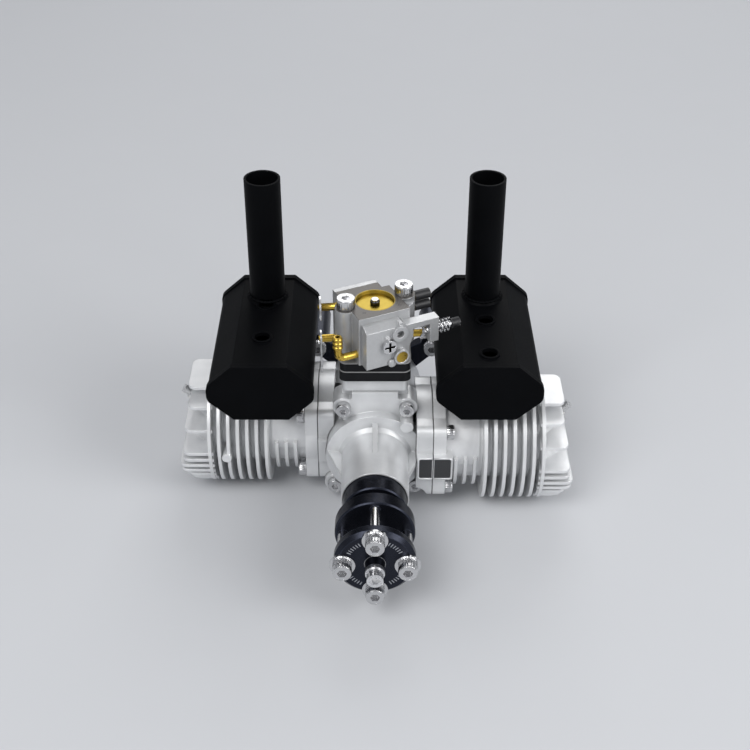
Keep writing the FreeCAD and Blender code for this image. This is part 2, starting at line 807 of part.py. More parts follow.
def make_propeller_bolts():
    seat_y = washer_front_y - d.small_washer_height
    reach = d.small_washer_height + d.washer_length + d.propeller_gap + d.drum_length - 1.0
    bolts = []
    for across, up in ((0, 1), (1, 0), (0, -1), (-1, 0)):
        x = d.prop_bolt_circle * across
        z = d.prop_bolt_circle * up
        bolts.append(socket_screw(d.m5_head_radius, d.m5_head_height, d.m5_radius, reach,
                                  (x, seat_y, z), "+y"))
        bolts.append(ring(d.small_washer_radius, d.m5_radius + d.fit, d.small_washer_height,
                          (x, washer_front_y, z), "-y"))
    node("propeller_bolts", separate(*bolts))
    boss = cone(d.nose_boss_radius, d.nose_boss_radius - 0.9, d.nose_boss_length,
                (0.0, washer_front_y, 0.0), "-y")
    collar_start = washer_front_y - d.nose_boss_length
    collar = rod(d.m5_head_radius + 0.3, d.nose_collar_length, (0.0, collar_start, 0.0), "-y")
    head_y = collar_start - d.nose_collar_length
    head = cut(rod(d.m5_head_radius - 0.4, d.centre_head_height, (0.0, head_y, 0.0), "-y"),
               hexagon(2.3, d.centre_head_height / 2, (0.0, head_y - d.centre_head_height, 0.0), "+y"))
    node("centre_bolt", separate(boss, fuse(collar, head)))


# One side's moving pieces: the rod stands in the slab between two crank webs
def make_piston_set(side, sign, axis_y):
    toward = "+x" if sign > 0 else "-x"
    inward = "-x" if sign > 0 else "+x"
    radius = d.bore / 2 - d.piston_clearance
    body = rod(radius, d.piston_length, (sign * crown_x, axis_y, 0.0), inward)
    hollow = rod(radius - d.skirt_wall, d.piston_length - d.crown_thickness,
                 (sign * (crown_x - d.piston_length), axis_y, 0.0), toward)
    boss_start = d.rod_width / 2 + 1.2
    bosses = [rod(d.pin_radius + d.pin_boss_wall, radius - 2.0 - boss_start,
                  (sign * pin_x, axis_y + s * boss_start, 0.0), "+y" if s > 0 else "-y") for s in (-1, 1)]
    ring_places = [crown_x - 2.2, crown_x - 5.2]
    grooves = [ring(d.bore, radius - 1.6, d.ring_height, (sign * x, axis_y, 0.0), inward)
               for x in ring_places]
    pin_hole = rod(d.pin_radius + d.fit, d.bore, (sign * pin_x, axis_y - d.bore / 2, 0.0), "+y")
    skirt = cut(body, hollow)
    node(f"{side}_piston", cut(fuse(skirt, *bosses), pin_hole, *grooves))
    rings = [ring(d.bore / 2 - 0.02, radius - 1.5, d.ring_height - 0.06,
                  (sign * (x - 0.03), axis_y, 0.0), inward) for x in ring_places]
    node(f"{side}_piston_rings", separate(*rings))
    pin_half = radius - 1.6
    pin = ring(d.pin_radius, d.pin_radius - 1.6, pin_half * 2, (sign * pin_x, axis_y - pin_half, 0.0), "+y")
    node(f"{side}_wrist_pin", pin)
    low_y = axis_y - d.rod_width / 2
    big_x = sign * d.crank_throw
    ends = [rod(d.big_end_radius, d.rod_width, (big_x, low_y, 0.0), "+y"),
            rod(d.small_end_radius, d.rod_width, (sign * pin_x, low_y, 0.0), "+y")]
    near, far = (d.crank_throw, pin_x) if sign > 0 else (-pin_x, -d.crank_throw)
    flange_half = d.small_end_radius * 0.62
    beam = box((near, low_y, -flange_half), (far, low_y + d.rod_width, flange_half))
    start = near + (d.big_end_radius if sign > 0 else d.small_end_radius) + 1.0
    stop = far - (d.small_end_radius if sign > 0 else d.big_end_radius) - 1.0
    depth = d.rod_width * 0.28
    flutes = [box((start, low_y, -flange_half + 1.5), (stop, low_y + depth, flange_half - 1.5)),
              box((start, low_y + d.rod_width - depth, -flange_half + 1.5),
                  (stop, low_y + d.rod_width, flange_half - 1.5))]
    bores = [rod(d.crankpin_radius + d.needle_wall, d.rod_width, (big_x, low_y, 0.0), "+y"),
             rod(d.pin_radius + d.fit, d.rod_width, (sign * pin_x, low_y, 0.0), "+y")]
    needles = ring(d.crankpin_radius + d.needle_wall - d.fit, d.crankpin_radius + d.fit, d.rod_width,
                   (big_x, low_y, 0.0), "+y")
    node(f"{side}_connecting_rod", separate(cut(fuse(beam, *ends), *flutes, *bores), needles))
    node(f"{side}_crankpin", rod(d.crankpin_radius, d.rod_width, (big_x, low_y, 0.0), "+y"))


def half_chord(radius, offset):
    """Half the width of a circle at an offset from its centre."""
    return Size(f"sqrt({text_of(radius * radius)} - {text_of(offset * offset)})",
                math.sqrt(value_of(radius) ** 2 - value_of(offset) ** 2))


def head_fin(z, reach):
    """One plate of the head, as wide as the round head at its height, with rounded outer corners."""
    half = half_chord(d.head_radius, z)
    low_z = z - d.fin_thickness / 2
    high_z = z + d.fin_thickness / 2
    bend = reach - d.fin_corner
    plate = box((d.head_reach - d.head_fin_length, -half, low_z), (bend, half, high_z))
    end = box((bend, d.fin_corner - half, low_z), (reach, half - d.fin_corner, high_z))
    corners = [rod(d.fin_corner, d.fin_thickness, (bend, s * (half - d.fin_corner), low_z))
               for s in (-1, 1)]
    return fuse(plate, end, *corners)


def exhaust_flange(start_z, thickness):
    """The lugged flange outline of the exhaust port, shared with its gasket."""
    lugs = [rod(d.exhaust_lug_radius, thickness, (d.port_x, s * d.exhaust_bolt_y, start_z))
            for s in (-1, 1)]
    bridge = box((d.port_x - d.exhaust_lug_radius, -d.exhaust_bolt_y, start_z),
                 (d.port_x + d.exhaust_lug_radius, d.exhaust_bolt_y, start_z + thickness))
    return fuse(rod(d.exhaust_body_radius, thickness, (d.port_x, 0.0, start_z)), bridge, *lugs)


# Cylinder and head in one casting, built along +X about its own axis; the left one is turned half a turn
def cylinder_casting():
    flange = flange_outline(flange_start, d.flange_thickness, "+x", 0.0)
    barrel = rod(d.barrel_radius, d.cylinder_roof - flange_start, (flange_start, 0.0, 0.0), "+x")
    spigot = rod(d.spigot_radius, d.spigot_length + d.gasket_thickness, (flange_start, 0.0, 0.0), "-x")
    bulge_length = d.first_fin - d.fin_pitch / 2 - flange_end
    bulge = common(rod(d.bulge_radius, bulge_length, (flange_end, 0.0, 0.0), "+x"),
                   box((flange_end, -d.bulge_radius, -2.0),
                       (flange_end + bulge_length, d.bulge_radius, d.fin_radius)))
    fins = [rod(d.fin_radius, d.fin_thickness,
                (d.first_fin + k * d.fin_pitch - d.fin_thickness / 2, 0.0, 0.0), "+x") for k in range(7)]
    small = [rod(d.small_fin_radius, d.fin_thickness,
                 (d.first_fin - k * d.fin_pitch - d.fin_thickness / 2, 0.0, 0.0), "+x") for k in (1, 2, 3)]
    low_half = box((flange_end, -d.fin_radius, -d.fin_radius),
                   (d.first_fin, d.fin_radius, d.small_fin_top))
    small_fins = common(fuse(*small), low_half)
    plates = []
    for k, steps in enumerate((1.0, 0.8, 0.1, 0.2, 1.3, 1.8, 2.5)):
        plates.append(head_fin(-d.lower_fin_pitch * k, d.head_reach - steps * d.head_step))
    for z, steps in ((d.tongue_fin_z, 1.6), (d.top_fin_z, 2.4), (d.top_fin_z + d.upper_fin_pitch, 2.2)):
        plates.append(head_fin(z, d.head_reach - steps * d.head_step))
    dome_length = d.head_reach - d.cylinder_roof - d.dome_inset
    core = cone(d.head_core, d.head_core - d.dome_taper, dome_length,
                (d.cylinder_roof - 0.5, 0.0, 0.0), "+x")
    head = fuse(core, *plates)
    front_box = box((flange_start, -d.box_reach, -d.box_half_height),
                    (flange_start + d.box_cylinder_length, 0.0, d.box_half_height))
    boss = rod(d.pin_boss_radius, d.fin_radius + 1.0,
               (d.first_fin + 4.2 * d.fin_pitch, 0.0, -1.0), "+y")
    stub = fuse(rod(d.exhaust_body_radius, d.exhaust_top - d.exhaust_thickness - d.port_floor,
                    (d.port_x, 0.0, d.port_floor)),
                exhaust_flange(d.exhaust_top - d.exhaust_thickness, d.exhaust_thickness))
    return fuse(flange, barrel, spigot, bulge, *fins, small_fins, head, front_box, boss, stub)


def plug_axis(distance):
    """A point on the spark plug's axis, outward from its seat."""
    return (d.plug_seat_x + distance * turn_cos(d.plug_angle), 0.0,
            d.plug_seat_z + distance * turn_sin(d.plug_angle))


def along_plug(piece, distance):
    """Lays a piece that was built along Z on the spark plug's axis."""
    place(piece, plug_axis(distance))
    piece.Placement.Rotation = FreeCAD.Rotation(FreeCAD.Vector(0, 1, 0), 90 - d.plug_angle.value)
    return piece


def plug_rod(radius, length, distance):
    return along_plug(bind(doc.addObject("Part::Cylinder", "rod"), Radius=radius, Height=length), distance)


def make_cylinder(side, axis_y, turn):
    start = flange_start - d.spigot_length - d.gasket_thickness
    bore = rod(d.bore / 2, deck_x - start, (start, 0.0, 0.0), "+x")
    chamber = cone(d.bore / 2 - 3.0, 4.0, d.chamber_depth, (deck_x, 0.0, 0.0), "+x")
    port = rod(d.port_radius, d.exhaust_top - d.port_floor, (d.port_x, 0.0, d.port_floor))
    plug_hole = plug_rod(d.plug_thread_radius + d.fit, 14.0, -12.0)
    pocket = plug_rod(d.plug_pocket, d.plug_pocket_depth, 0.0)
    screws = [rod(d.m5_radius, 8.0, (d.port_x, s * d.exhaust_bolt_y, d.exhaust_top), "-z") for s in (-1, 1)]
    muffler_room = box((flange_end, -d.fin_radius, d.exhaust_top),
                       (d.port_x + d.muffler_flat + d.muffler_height / 10, d.fin_radius,
                        d.fin_radius + 1.0))
    casting = cut(cylinder_casting(), bore, chamber, port, plug_hole, pocket, muffler_room, *screws,
                  *bolt_holes(flange_start, d.flange_thickness, "+x", 0.0))
    node(f"{side}_cylinder", framed(casting, (0.0, axis_y, 0.0), turn))
    seat_ring = cut(plug_rod(d.plug_hex_radius - 0.3, 1.0, 0.05), plug_rod(d.plug_thread_radius, 2.0, -0.5))
    hex_part = along_plug(bind(doc.addObject("Part::Prism", "hexagon"), Circumradius=d.plug_hex_radius,
                               Height=4.0), 1.1)
    hex_part.Polygon = 6
    plug = fuse(hex_part, plug_rod(d.plug_thread_radius, d.plug_thread_length + 1.1, -d.plug_thread_length),
                plug_rod(3.2, 3.0, 5.0), plug_rod(2.2, 4.6, 7.6))
    node(f"{side}_spark_plug", framed(separate(plug, seat_ring), (0.0, axis_y, 0.0), turn))


def muffler_form(inset, start, length):
    """The six-sided muffler outline, set in by a wall, running back over a given length."""
    body = new_body("muffler_form")
    profile = sketch_on(body, "XZ_Plane", -start)
    half = d.muffler_half_width - inset
    flat = d.muffler_flat - inset * d.fold_ratio
    rise = d.muffler_height / 2 - inset
    side = d.muffler_side_height / 2
    outline(profile, [(-flat, -rise), (flat, -rise), (half, -side), (half, side),
                      (flat, rise), (-flat, rise), (-half, side), (-half, -side)])
    pad = feature(body, "Pad", profile, length, backwards=True)
    doc.recompute()
    names = []
    for index, edge in enumerate(pad.Shape.Edges, start=1):
        ends = [v.Point for v in edge.Vertexes]
        runs_along = len(ends) == 2 and abs(ends[0].y - ends[1].y) > 1.0
        if runs_along and abs(abs(ends[0].x) - half.value) < 0.01:
            names.append(f"Edge{index}")
    rounded = body.newObject("PartDesign::Fillet", "side_round")
    rounded.Base = (pad, names)
    rounded.setExpression("Radius", text_of(d.muffler_side_round - inset))
    body.Tip = rounded
    return body


# Muffler: a folded six-sided shell with rolled end seams, a tail pipe and two bolt access holes
def make_muffler(side, sign, axis_y):
    front_y = mid_y - d.muffler_front
    wall = d.muffler_wall
    middle = (sign * d.port_x, front_y, muffler_mid)
    forms = [(0.0 * wall, 0.0 * wall, d.muffler_length), (wall, wall, d.muffler_length - 2 * wall),
             (-d.seam_step, 0.0 * wall, d.seam_length),
             (-d.seam_step, d.muffler_length - d.seam_length, d.seam_length)]
    outer, inner, *seams = [place(muffler_form(*form), middle) for form in forms]
    pipe_y = mid_y + d.pipe_back
    pipe_low = (sign * d.pipe_x, pipe_y, muffler_high - d.pipe_root)
    pipe_length = d.pipe_top - muffler_high + d.pipe_root
    pipe = rod(d.pipe_radius, pipe_length, pipe_low)
    bead = cone(d.pipe_radius + 1.6, d.pipe_radius + 0.4, 1.6, (sign * d.pipe_x, pipe_y, muffler_high))
    bolts_y = [axis_y + s * d.exhaust_bolt_y for s in (-1, 1)]
    collars = [rod(d.access_collar, d.access_height + d.muffler_wall,
                   (sign * d.port_x, y, muffler_high - d.muffler_wall)) for y in bolts_y]
    holes = [rod(d.access_radius, d.muffler_wall * 2 + d.access_height + 1.0,
                 (sign * d.port_x, y, muffler_high - d.muffler_wall - 0.5)) for y in bolts_y]
    holes += [rod(d.m5_radius + 0.1, d.muffler_wall, (sign * d.port_x, y, muffler_low)) for y in bolts_y]
    inlet = rod(d.port_radius, d.muffler_wall, (sign * d.port_x, axis_y, muffler_low))
    shell = cut(fuse(outer, *seams, bead, *collars), inner)
    bore = rod(d.pipe_radius - d.pipe_wall, pipe_length, pipe_low)
    node(f"{side}_muffler", cut(fuse(shell, pipe), bore, inlet, *holes))


def make_exhaust_joints():
    gaskets = []
    bolts = []
    for sign, axis_y in ((-1, left_y), (1, right_y)):
        plate = cut(exhaust_flange(d.exhaust_top, d.gasket_thickness),
                    rod(d.port_radius, d.gasket_thickness, (d.port_x, 0.0, d.exhaust_top)),
                    *[rod(d.m5_radius + 0.1, d.gasket_thickness,
                          (d.port_x, s * d.exhaust_bolt_y, d.exhaust_top)) for s in (-1, 1)])
        shift = (d.port_x * (sign - 1), axis_y, 0.0)
        gaskets.append(place(plate, shift))
        for s in (-1, 1):
            spot = (sign * d.port_x, axis_y + s * d.exhaust_bolt_y, muffler_low + d.muffler_wall)
            bolts.append(socket_screw(d.access_radius - 0.3, d.m5_head_height - 1.0, d.m5_radius - d.fit,
                                      d.muffler_wall + d.gasket_thickness + 7.0, spot, "-z"))
    node("exhaust_gaskets", separate(*gaskets))
    node("exhaust_bolts", separate(*bolts))


def make_base_gaskets_and_bolts():
    gaskets = []
    bolts = []
    for sign, way, axis_y in ((-1, "-x", left_y), (1, "+x", right_y)):
        inward = "-x" if sign > 0 else "+x"
        sheet_metal = flange_outline(sign * d.pad_reach, d.gasket_thickness, way, axis_y)
        holes = bolt_holes(sign * d.pad_reach, d.gasket_thickness, way, axis_y)
        centre = rod(d.spigot_radius + d.fit, d.gasket_thickness, (sign * d.pad_reach, axis_y, 0.0), way)
        gaskets.append(cut(sheet_metal, centre, *holes))
        for sy in (-1, 1):
            for sz in (-1, 1):
                spot = (sign * flange_end, axis_y + sy * d.bolt_y, sz * d.bolt_z)
                bolts.append(socket_screw(d.m4_head_radius, d.m4_head_height, d.m4_radius,
                                          d.flange_thickness + d.gasket_thickness, spot, inward))
    node("base_gaskets", separate(*gaskets))
    node("cylinder_bolts", separate(*bolts))


def make_housing_bolts():
    face_y = housing_y - d.plate_thickness
    bolts = [socket_screw(d.m4_head_radius, d.m4_head_height, d.m4_radius, d.plate_thickness,
                          (x, face_y, z), "+y") for x, z in housing_places()]
    node("housing_bolts", separate(*bolts))
    half = d.pickup_width / 2
    pickup = box((-half, nose_tip_y + d.pickup_start, -d.nose_root_radius - d.pickup_height),
                 (half, nose_tip_y + d.pickup_start + d.pickup_length, 0.0))
    nose = rod(d.nose_root_radius + d.fit, d.nose_length, (0.0, nose_tip_y, 0.0), "+y")
    node("ignition_pickup", cut(pickup, nose))


# Rear cover, the X-shaped mount with scooped sides, its bolts and the stand-offs
def make_rear_mount():
    cover = rod(d.case_radius, d.cover_thickness, (0.0, cover_y, 0.0), "+y")
    spigot = rod(d.bearing_radius + 2.9, 2.0, (0.0, cover_y, 0.0), "-y")
    node("rear_cover", fuse(cover, spigot))
    body = new_body("rear_mount_plate")
    profile = sketch_on(body, "XZ_Plane", -mount_y)
    arm = d.arm_half_width
    out_x = d.mount_x + 1.5
    out_z = d.mount_z + 1.5
    outline(profile, [
        (out_x - arm, out_z), (out_x, out_z - arm), (d.mount_ring, 6.0), (d.mount_ring, -6.0),
        (out_x, -out_z + arm), (out_x - arm, -out_z), (6.0, -d.mount_ring), (-6.0, -d.mount_ring),
        (-out_x + arm, -out_z), (-out_x, -out_z + arm), (-d.mount_ring, -6.0), (-d.mount_ring, 6.0),
        (-out_x, out_z - arm), (-out_x + arm, out_z), (-6.0, d.mount_ring), (6.0, d.mount_ring)])
    feature(body, "Pad", profile, d.mount_thickness, backwards=True)
    ends = [(sx * d.mount_x, mount_y, sz * d.mount_z) for sx in (-1, 1) for sz in (-1, 1)]
    eyes = [rod(d.standoff_radius, d.mount_thickness, spot, "+y") for spot in ends]
    holes = [rod(d.m5_radius + d.fit, d.mount_thickness, spot, "+y") for spot in ends]
    hub = rod(d.mount_ring, d.mount_thickness, (0.0, mount_y, 0.0), "+y")
    node("rear_mount", cut(fuse(body, hub, *eyes), *holes))
    posts = []
    for x, _, z in ends:
        post = rod(d.standoff_radius, d.standoff_length, (x, standoff_y, z), "+y")
        bolt_bore = rod(d.m5_radius, d.mount_bolt_grip + 1.0, (x, standoff_y, z), "+y")
        thread = rod(d.standoff_thread, d.standoff_thread_depth,
                     (x, standoff_y + d.standoff_length, z), "-y")
        posts.append(cut(post, bolt_bore, thread))
    node("standoffs", separate(*posts))
    bolts = [socket_screw(d.m5_head_radius, d.m5_head_height, d.m5_radius - d.fit,
                          d.mount_thickness + d.mount_bolt_grip, spot, "+y") for spot in ends]
    node("mount_bolts", separate(*bolts))


# Intake: a wedge-shaped reed cage in the neck, then the two black blocks with a gasket between
def make_intake():
    low_z = d.neck_top - d.reed_depth
    wedge_body = new_body("reed_wedge")
    profile = sketch_on(wedge_body, "YZ_Plane", -(d.reed_half_width - 0.6))
    half = d.reed_half_depth - 0.6
    outline(profile, [(-half, d.neck_top), (-half, d.neck_top - 3.0), (-1.2, low_z), (1.2, low_z),
                      (half, d.neck_top - 3.0), (half, d.neck_top)])
    feature(wedge_body, "Pad", profile, 2 * (d.reed_half_width - 0.6))
    place(wedge_body, (0.0, intake_y, 0.0))
    channel = new_body("reed_channel")
    inside = sketch_on(channel, "YZ_Plane", -(d.reed_half_width - 3.0))
    outline(inside, [(-half + 2.0, d.neck_top), (-half + 2.4, d.neck_top - 3.0), (-0.8, low_z + 5.0),
                     (0.8, low_z + 5.0), (half - 2.4, d.neck_top - 3.0), (half - 2.0, d.neck_top)])
    feature(channel, "Pad", inside, 2 * (d.reed_half_width - 3.0))
    place(channel, (0.0, intake_y, 0.0))
    lower = rounded_block(d.block_half_width, d.block_half_depth, d.block_corner, d.neck_top,
                          d.lower_block, intake_y)
    throat = rod(d.throat_radius, d.lower_block, (0.0, intake_y, d.neck_top))
    node("reed_block", cut(fuse(lower, wedge_body), throat, channel))
    petals = []
    for s in (-1, 1):
        leaf_body = new_body("reed_leaf")
        leaf = sketch_on(leaf_body, "YZ_Plane", -(d.reed_half_width - 1.6))
        outline(leaf, [(s * (half + 0.05), d.neck_top - 3.2), (s * 1.4, low_z + 0.2),
                       (s * 1.7, low_z + 0.2), (s * (half + 0.4), d.neck_top - 3.2)])
        feature(leaf_body, "Pad", leaf, 2 * (d.reed_half_width - 1.6))
        petals.append(place(leaf_body, (0.0, intake_y, 0.0)))
    node("reed_petals", separate(*petals))
    upper = rounded_block(d.block_half_width - 0.2, d.block_half_depth - 0.2, d.block_corner, upper_block_z,
                          d.upper_block, intake_y)
    node("insulator_block", cut(upper, rod(d.throat_radius, d.upper_block, (0.0, intake_y, upper_block_z))))
    sheets = []
    for z in (d.neck_top + d.lower_block, upper_block_z + d.upper_block):
        plate = rounded_block(d.block_half_width, d.block_half_depth, d.block_corner, z,
                              d.thin_gasket, intake_y)
        sheets.append(cut(plate, rod(d.throat_radius, d.thin_gasket, (0.0, intake_y, z))))
    node("intake_gaskets", separate(*sheets))


CARB_SPOT = (0.0, intake_y, carb_z)


def carb_node(label, piece):
    return node(label, framed(piece, CARB_SPOT, d.carb_turn))


def shaft_node(label, piece):
    return node(label, framed(piece, CARB_SPOT, d.shaft_turn))


def make_carburettor_body():
    block = box((-d.carb_left, -d.carb_front, 0.0), (d.carb_right, d.carb_back, d.carb_height))
    columns = [rod(d.carb_boss_radius, d.carb_height, (sx * d.carb_bolt_x, 0.0, 0.0)) for sx in (-1, 1)]
    needle_boss = box((d.carb_right - 1.0, d.needle_y - 3.4, d.low_needle_z - 3.6),
                      (d.carb_right + 7.0, d.needle_y + 3.4, d.high_needle_z + 3.4))
    trim_y = d.carb_back - 5.0
    corner = box((d.carb_right - d.corner_trim, trim_y, -1.0),
                 (d.carb_right + 1.0, d.carb_back + 1.0, d.carb_height + 1.0))
    casting = cut(fuse(block, needle_boss, *columns), corner)
    throat = rod(d.throat_radius, d.carb_height, (0.0, 0.0, 0.0))
    bolt_ways = [rod(d.m5_radius + d.fit, d.carb_height, (sx * d.carb_bolt_x, 0.0, 0.0)) for sx in (-1, 1)]
    needle_ways = [rod(d.needle_radius + d.fit, 14.0, (d.carb_right - 6.0, d.needle_y, z), "+x")
                   for z in (d.high_needle_z, d.low_needle_z)]
    drillings = []
    for z in (d.choke_z, d.throttle_z):
        drilling = separate(rod(d.carb_shaft_radius + d.fit, 2 * d.lever_x, (-d.lever_x, 0.0, z), "+x"))
        drilling.setExpression("Placement.Rotation.Angle", text_of(d.shaft_turn - d.carb_turn))
        drillings.append(drilling)
    fuel_way = rod(d.elbow_radius + d.fit, 6.0, (-d.carb_left, -d.elbow_y, d.elbow_z), "+x")
    carb_node("carburettor_body", cut(casting, throat, fuel_way, *bolt_ways, *needle_ways, *drillings))


# Pump cover: the front plate of the carburettor, with the arm that carries the idle screw
def make_pump_cover():
    body = new_body("pump_cover_casting")
    profile = sketch_on(body, "XZ_Plane", d.carb_front)
    step_x = d.cover_right + d.cover_step
    tab_x = d.bracket_reach - d.bracket_tab
    outline(profile, [
        (-d.cover_left, 0.0), (d.cover_right, 0.0), (d.cover_right, d.cover_step_low),
        (step_x, d.cover_step_high), (step_x, d.bracket_arm_low), (tab_x, d.bracket_arm_low),
        (tab_x, d.bracket_low), (d.bracket_reach, d.bracket_low), (d.bracket_reach, d.bracket_top),
        (d.bracket_root, d.bracket_top), (d.bracket_foot, d.cover_top), (-d.cover_left, d.cover_top)])
    feature(body, "Pad", profile, d.cover_depth)
    face_y = -d.carb_front - d.cover_depth
    bosses = [rod(d.cap_boss_radius, d.cap_boss_height, (d.cap_boss_x, face_y, d.cap_boss_z), "-y"),
              rod(d.inlet_boss_radius, d.inlet_boss_height, (d.inlet_x, face_y, d.inlet_z), "-y")]
    slope = new_body("cover_slope")
    cut_profile = sketch_on(slope, "YZ_Plane", -d.cover_left - 1.0)
    slope_top = d.cover_top + 0.6
    outline(cut_profile, [(face_y - 0.1, d.cover_top - d.cover_slope_drop),
                          (-d.carb_front - 1.0, slope_top), (face_y - 0.1, slope_top)])
    feature(slope, "Pad", cut_profile, d.cover_left + 5.0)
    inlet_y = face_y - d.inlet_boss_height
    screw_spot = (-d.pump_screw_x, face_y, d.pump_screw_z)
    hollows = [rod(d.cap_hole_radius, d.cap_hole_depth,
                   (d.cap_boss_x, face_y - d.cap_boss_height, d.cap_boss_z), "+y"),
               rod(d.inlet_plug_radius + d.fit, d.inlet_plug_length + 0.6,
                   (d.inlet_x, inlet_y, d.inlet_z), "+y"),
               rod(d.pump_shank_radius + d.screw_gap, d.cover_depth, screw_spot, "+y"),
               rod(d.idle_radius + d.fit, 12.0, (tab_x - 4.0, -d.idle_y, d.idle_z), "+x")]
    carb_node("pump_cover", cut(fuse(body, *bosses), slope, *hollows))
    carb_node("inlet_plug", separate(rod(d.inlet_plug_radius, d.inlet_plug_length,
                                         (d.inlet_x, inlet_y + 0.2, d.inlet_z), "+y")))
    screws = [cut(fuse(rod(d.pump_screw_radius, d.pump_screw_height, screw_spot, "-y"),
                       rod(d.pump_shank_radius, d.cover_depth, screw_spot, "+y")), *cross_slots(face_y))]
    back_y = d.carb_back + d.metering_thickness
    places = [(sx * d.metering_screw_x - d.metering_x, d.carb_height / 2 + sz * d.metering_screw_z)
              for sz in (-1, 1) for sx in (-1, 1)]
    for x, z in places:
        screws.append(fuse(rod(d.metering_screw_radius, d.metering_screw_height, (x, back_y, z), "+y"),
                           rod(d.metering_shank_radius, d.metering_thickness, (x, back_y, z), "-y")))
    carb_node("cover_screws", separate(*screws))
    back = box((-d.carb_left, d.carb_back, 0.0), (d.carb_right - d.corner_trim, back_y, d.carb_height))
    screw_ways = [rod(d.metering_shank_radius + d.screw_gap, d.metering_thickness, (x, back_y, z), "-y")
                  for x, z in places]
    dish = rod(d.dish_radius, d.dish_height, (-d.metering_x, back_y, d.carb_height / 2), "+y")
    carb_node("metering_cover", cut(fuse(back, dish), *screw_ways))


def cross_slots(face_y):
    """The two crossed slots in the head of the pump cover's screw."""
    slots = []
    for half_x, half_z in ((d.cross_half_length, d.cross_half_width),
                           (d.cross_half_width, d.cross_half_length)):
        slots.append(box((-d.pump_screw_x - half_x, face_y - d.pump_screw_height - 0.4,
                          d.pump_screw_z - half_z),
                         (-d.pump_screw_x + half_x, face_y - d.pump_screw_height + d.cross_depth,
                          d.pump_screw_z + half_z)))
    return slots


def make_carburettor_bolts():
    bolts = [socket_screw(d.m5_head_radius, d.m5_head_height, d.m5_radius, d.carb_height,
                          (sx * d.carb_bolt_x, 0.0, d.carb_height), "-z") for sx in (-1, 1)]
    carb_node("carburettor_bolts", separate(*bolts))


def make_fuel_elbow():
    """A quarter-bend pipe with three barbs, its path two straight runs and one arc."""
    reach = d.elbow_x - d.carb_left
    level = rod(d.elbow_radius, reach - d.elbow_bend + 5.0,
                (-d.carb_left + 5.0, -d.elbow_y, d.elbow_z), "-x")
    turn = doc.addObject("Part::Torus", "bend")
    bind(turn, Radius1=d.elbow_bend, Radius2=d.elbow_radius)
    turn.Angle3 = 90
    turn.Placement.Rotation = FreeCAD.Rotation(FreeCAD.Vector(-1, 0, 0), FreeCAD.Vector(0, 0, -1),
                                               FreeCAD.Vector(0, -1, 0), "XYZ")
    place(turn, (-d.elbow_x + d.elbow_bend, -d.elbow_y, d.elbow_z + d.elbow_bend))
    upright_z = d.elbow_z + d.elbow_bend
    upright = rod(d.elbow_radius, d.elbow_top - upright_z, (-d.elbow_x, -d.elbow_y, upright_z))
    barbs = [cone(d.barb_radius, d.elbow_radius, 1.8, (-d.elbow_x, -d.elbow_y, d.elbow_top - 2.2 * k))
             for k in (1, 2, 3)]
    bore = rod(d.elbow_radius - 0.8, d.elbow_top - upright_z, (-d.elbow_x, -d.elbow_y, upright_z))
    carb_node("fuel_elbow", cut(fuse(level, turn, upright, *barbs), bore))


def make_idle_screw():
    spot = (d.idle_tip_x, -d.idle_y, d.idle_z)
    stem = rod(d.idle_radius, d.idle_end_x - d.idle_tip_x, spot, "+x")
    head_start = d.idle_end_x
    head = cut(rod(d.idle_head_radius, d.idle_head_length, (head_start, -d.idle_y, d.idle_z), "+x"),
               box((head_start + d.idle_head_length - 1.2, -d.idle_y - 3.0, d.idle_z - 0.5),
                   (head_start + d.idle_head_length + 1.0, -d.idle_y + 3.0, d.idle_z + 0.5)))
    carb_node("idle_speed_screw", fuse(stem, head))
    length = d.idle_end_x - d.bracket_reach - 0.4
    coil_radius = d.spring_radius.value
    path = Part.makeHelix(length.value / d.spring_turns.value,
                          length.value - 2 * d.spring_wire.value, coil_radius)
    start = FreeCAD.Vector(coil_radius, 0, 0)
    wire_circle = Part.Wire([Part.makeCircle(d.spring_wire.value, start, FreeCAD.Vector(0, 1, 0))])
    coil = doc.addObject("Part::Feature", "spring_coil")
    coil.Shape = Part.Wire(path.Edges).makePipeShell([wire_circle], True, True)
    aim(coil, "+x")
    coil.Placement.Base = FreeCAD.Vector(d.bracket_reach.value + 0.2 + d.spring_wire.value, -d.idle_y.value,
                                         d.idle_z.value)
    carb_node("idle_screw_spring", separate(coil))


def make_needles():
    for label, z in (("high_speed_needle", d.high_needle_z), ("low_speed_needle", d.low_needle_z)):
        stem = rod(d.needle_radius, d.cap_start - d.carb_right + 4.0,
                   (d.carb_right - 4.0, d.needle_y, z), "+x")
        nut = hexagon(d.cap_radius - 0.3, 2.0, (d.cap_start - 2.4, d.needle_y, z), "+x")
        cap = rod(d.cap_radius, d.cap_end - d.cap_start, (d.cap_start, d.needle_y, z), "+x")
        carb_node(label, separate(fuse(stem, nut), cap))


def lever_plate(x, up, down, width, hole):
    """A thin lever across a shaft, its eye at the bottom end."""
    half = width / 2
    strip = box((x, -half, -down), (x + d.lever_thickness, half, up))
    eye = rod(half + 0.5, d.lever_thickness, (x, 0.0, -down), "+x")
    return cut(fuse(strip, eye, rod(3.0, d.lever_thickness, (x, 0.0, 0.0), "+x")),
               rod(hole, d.lever_thickness, (x, 0.0, -down), "+x"),
               rod(d.carb_shaft_radius - 0.6, d.lever_thickness, (x, 0.0, 0.0), "+x"))


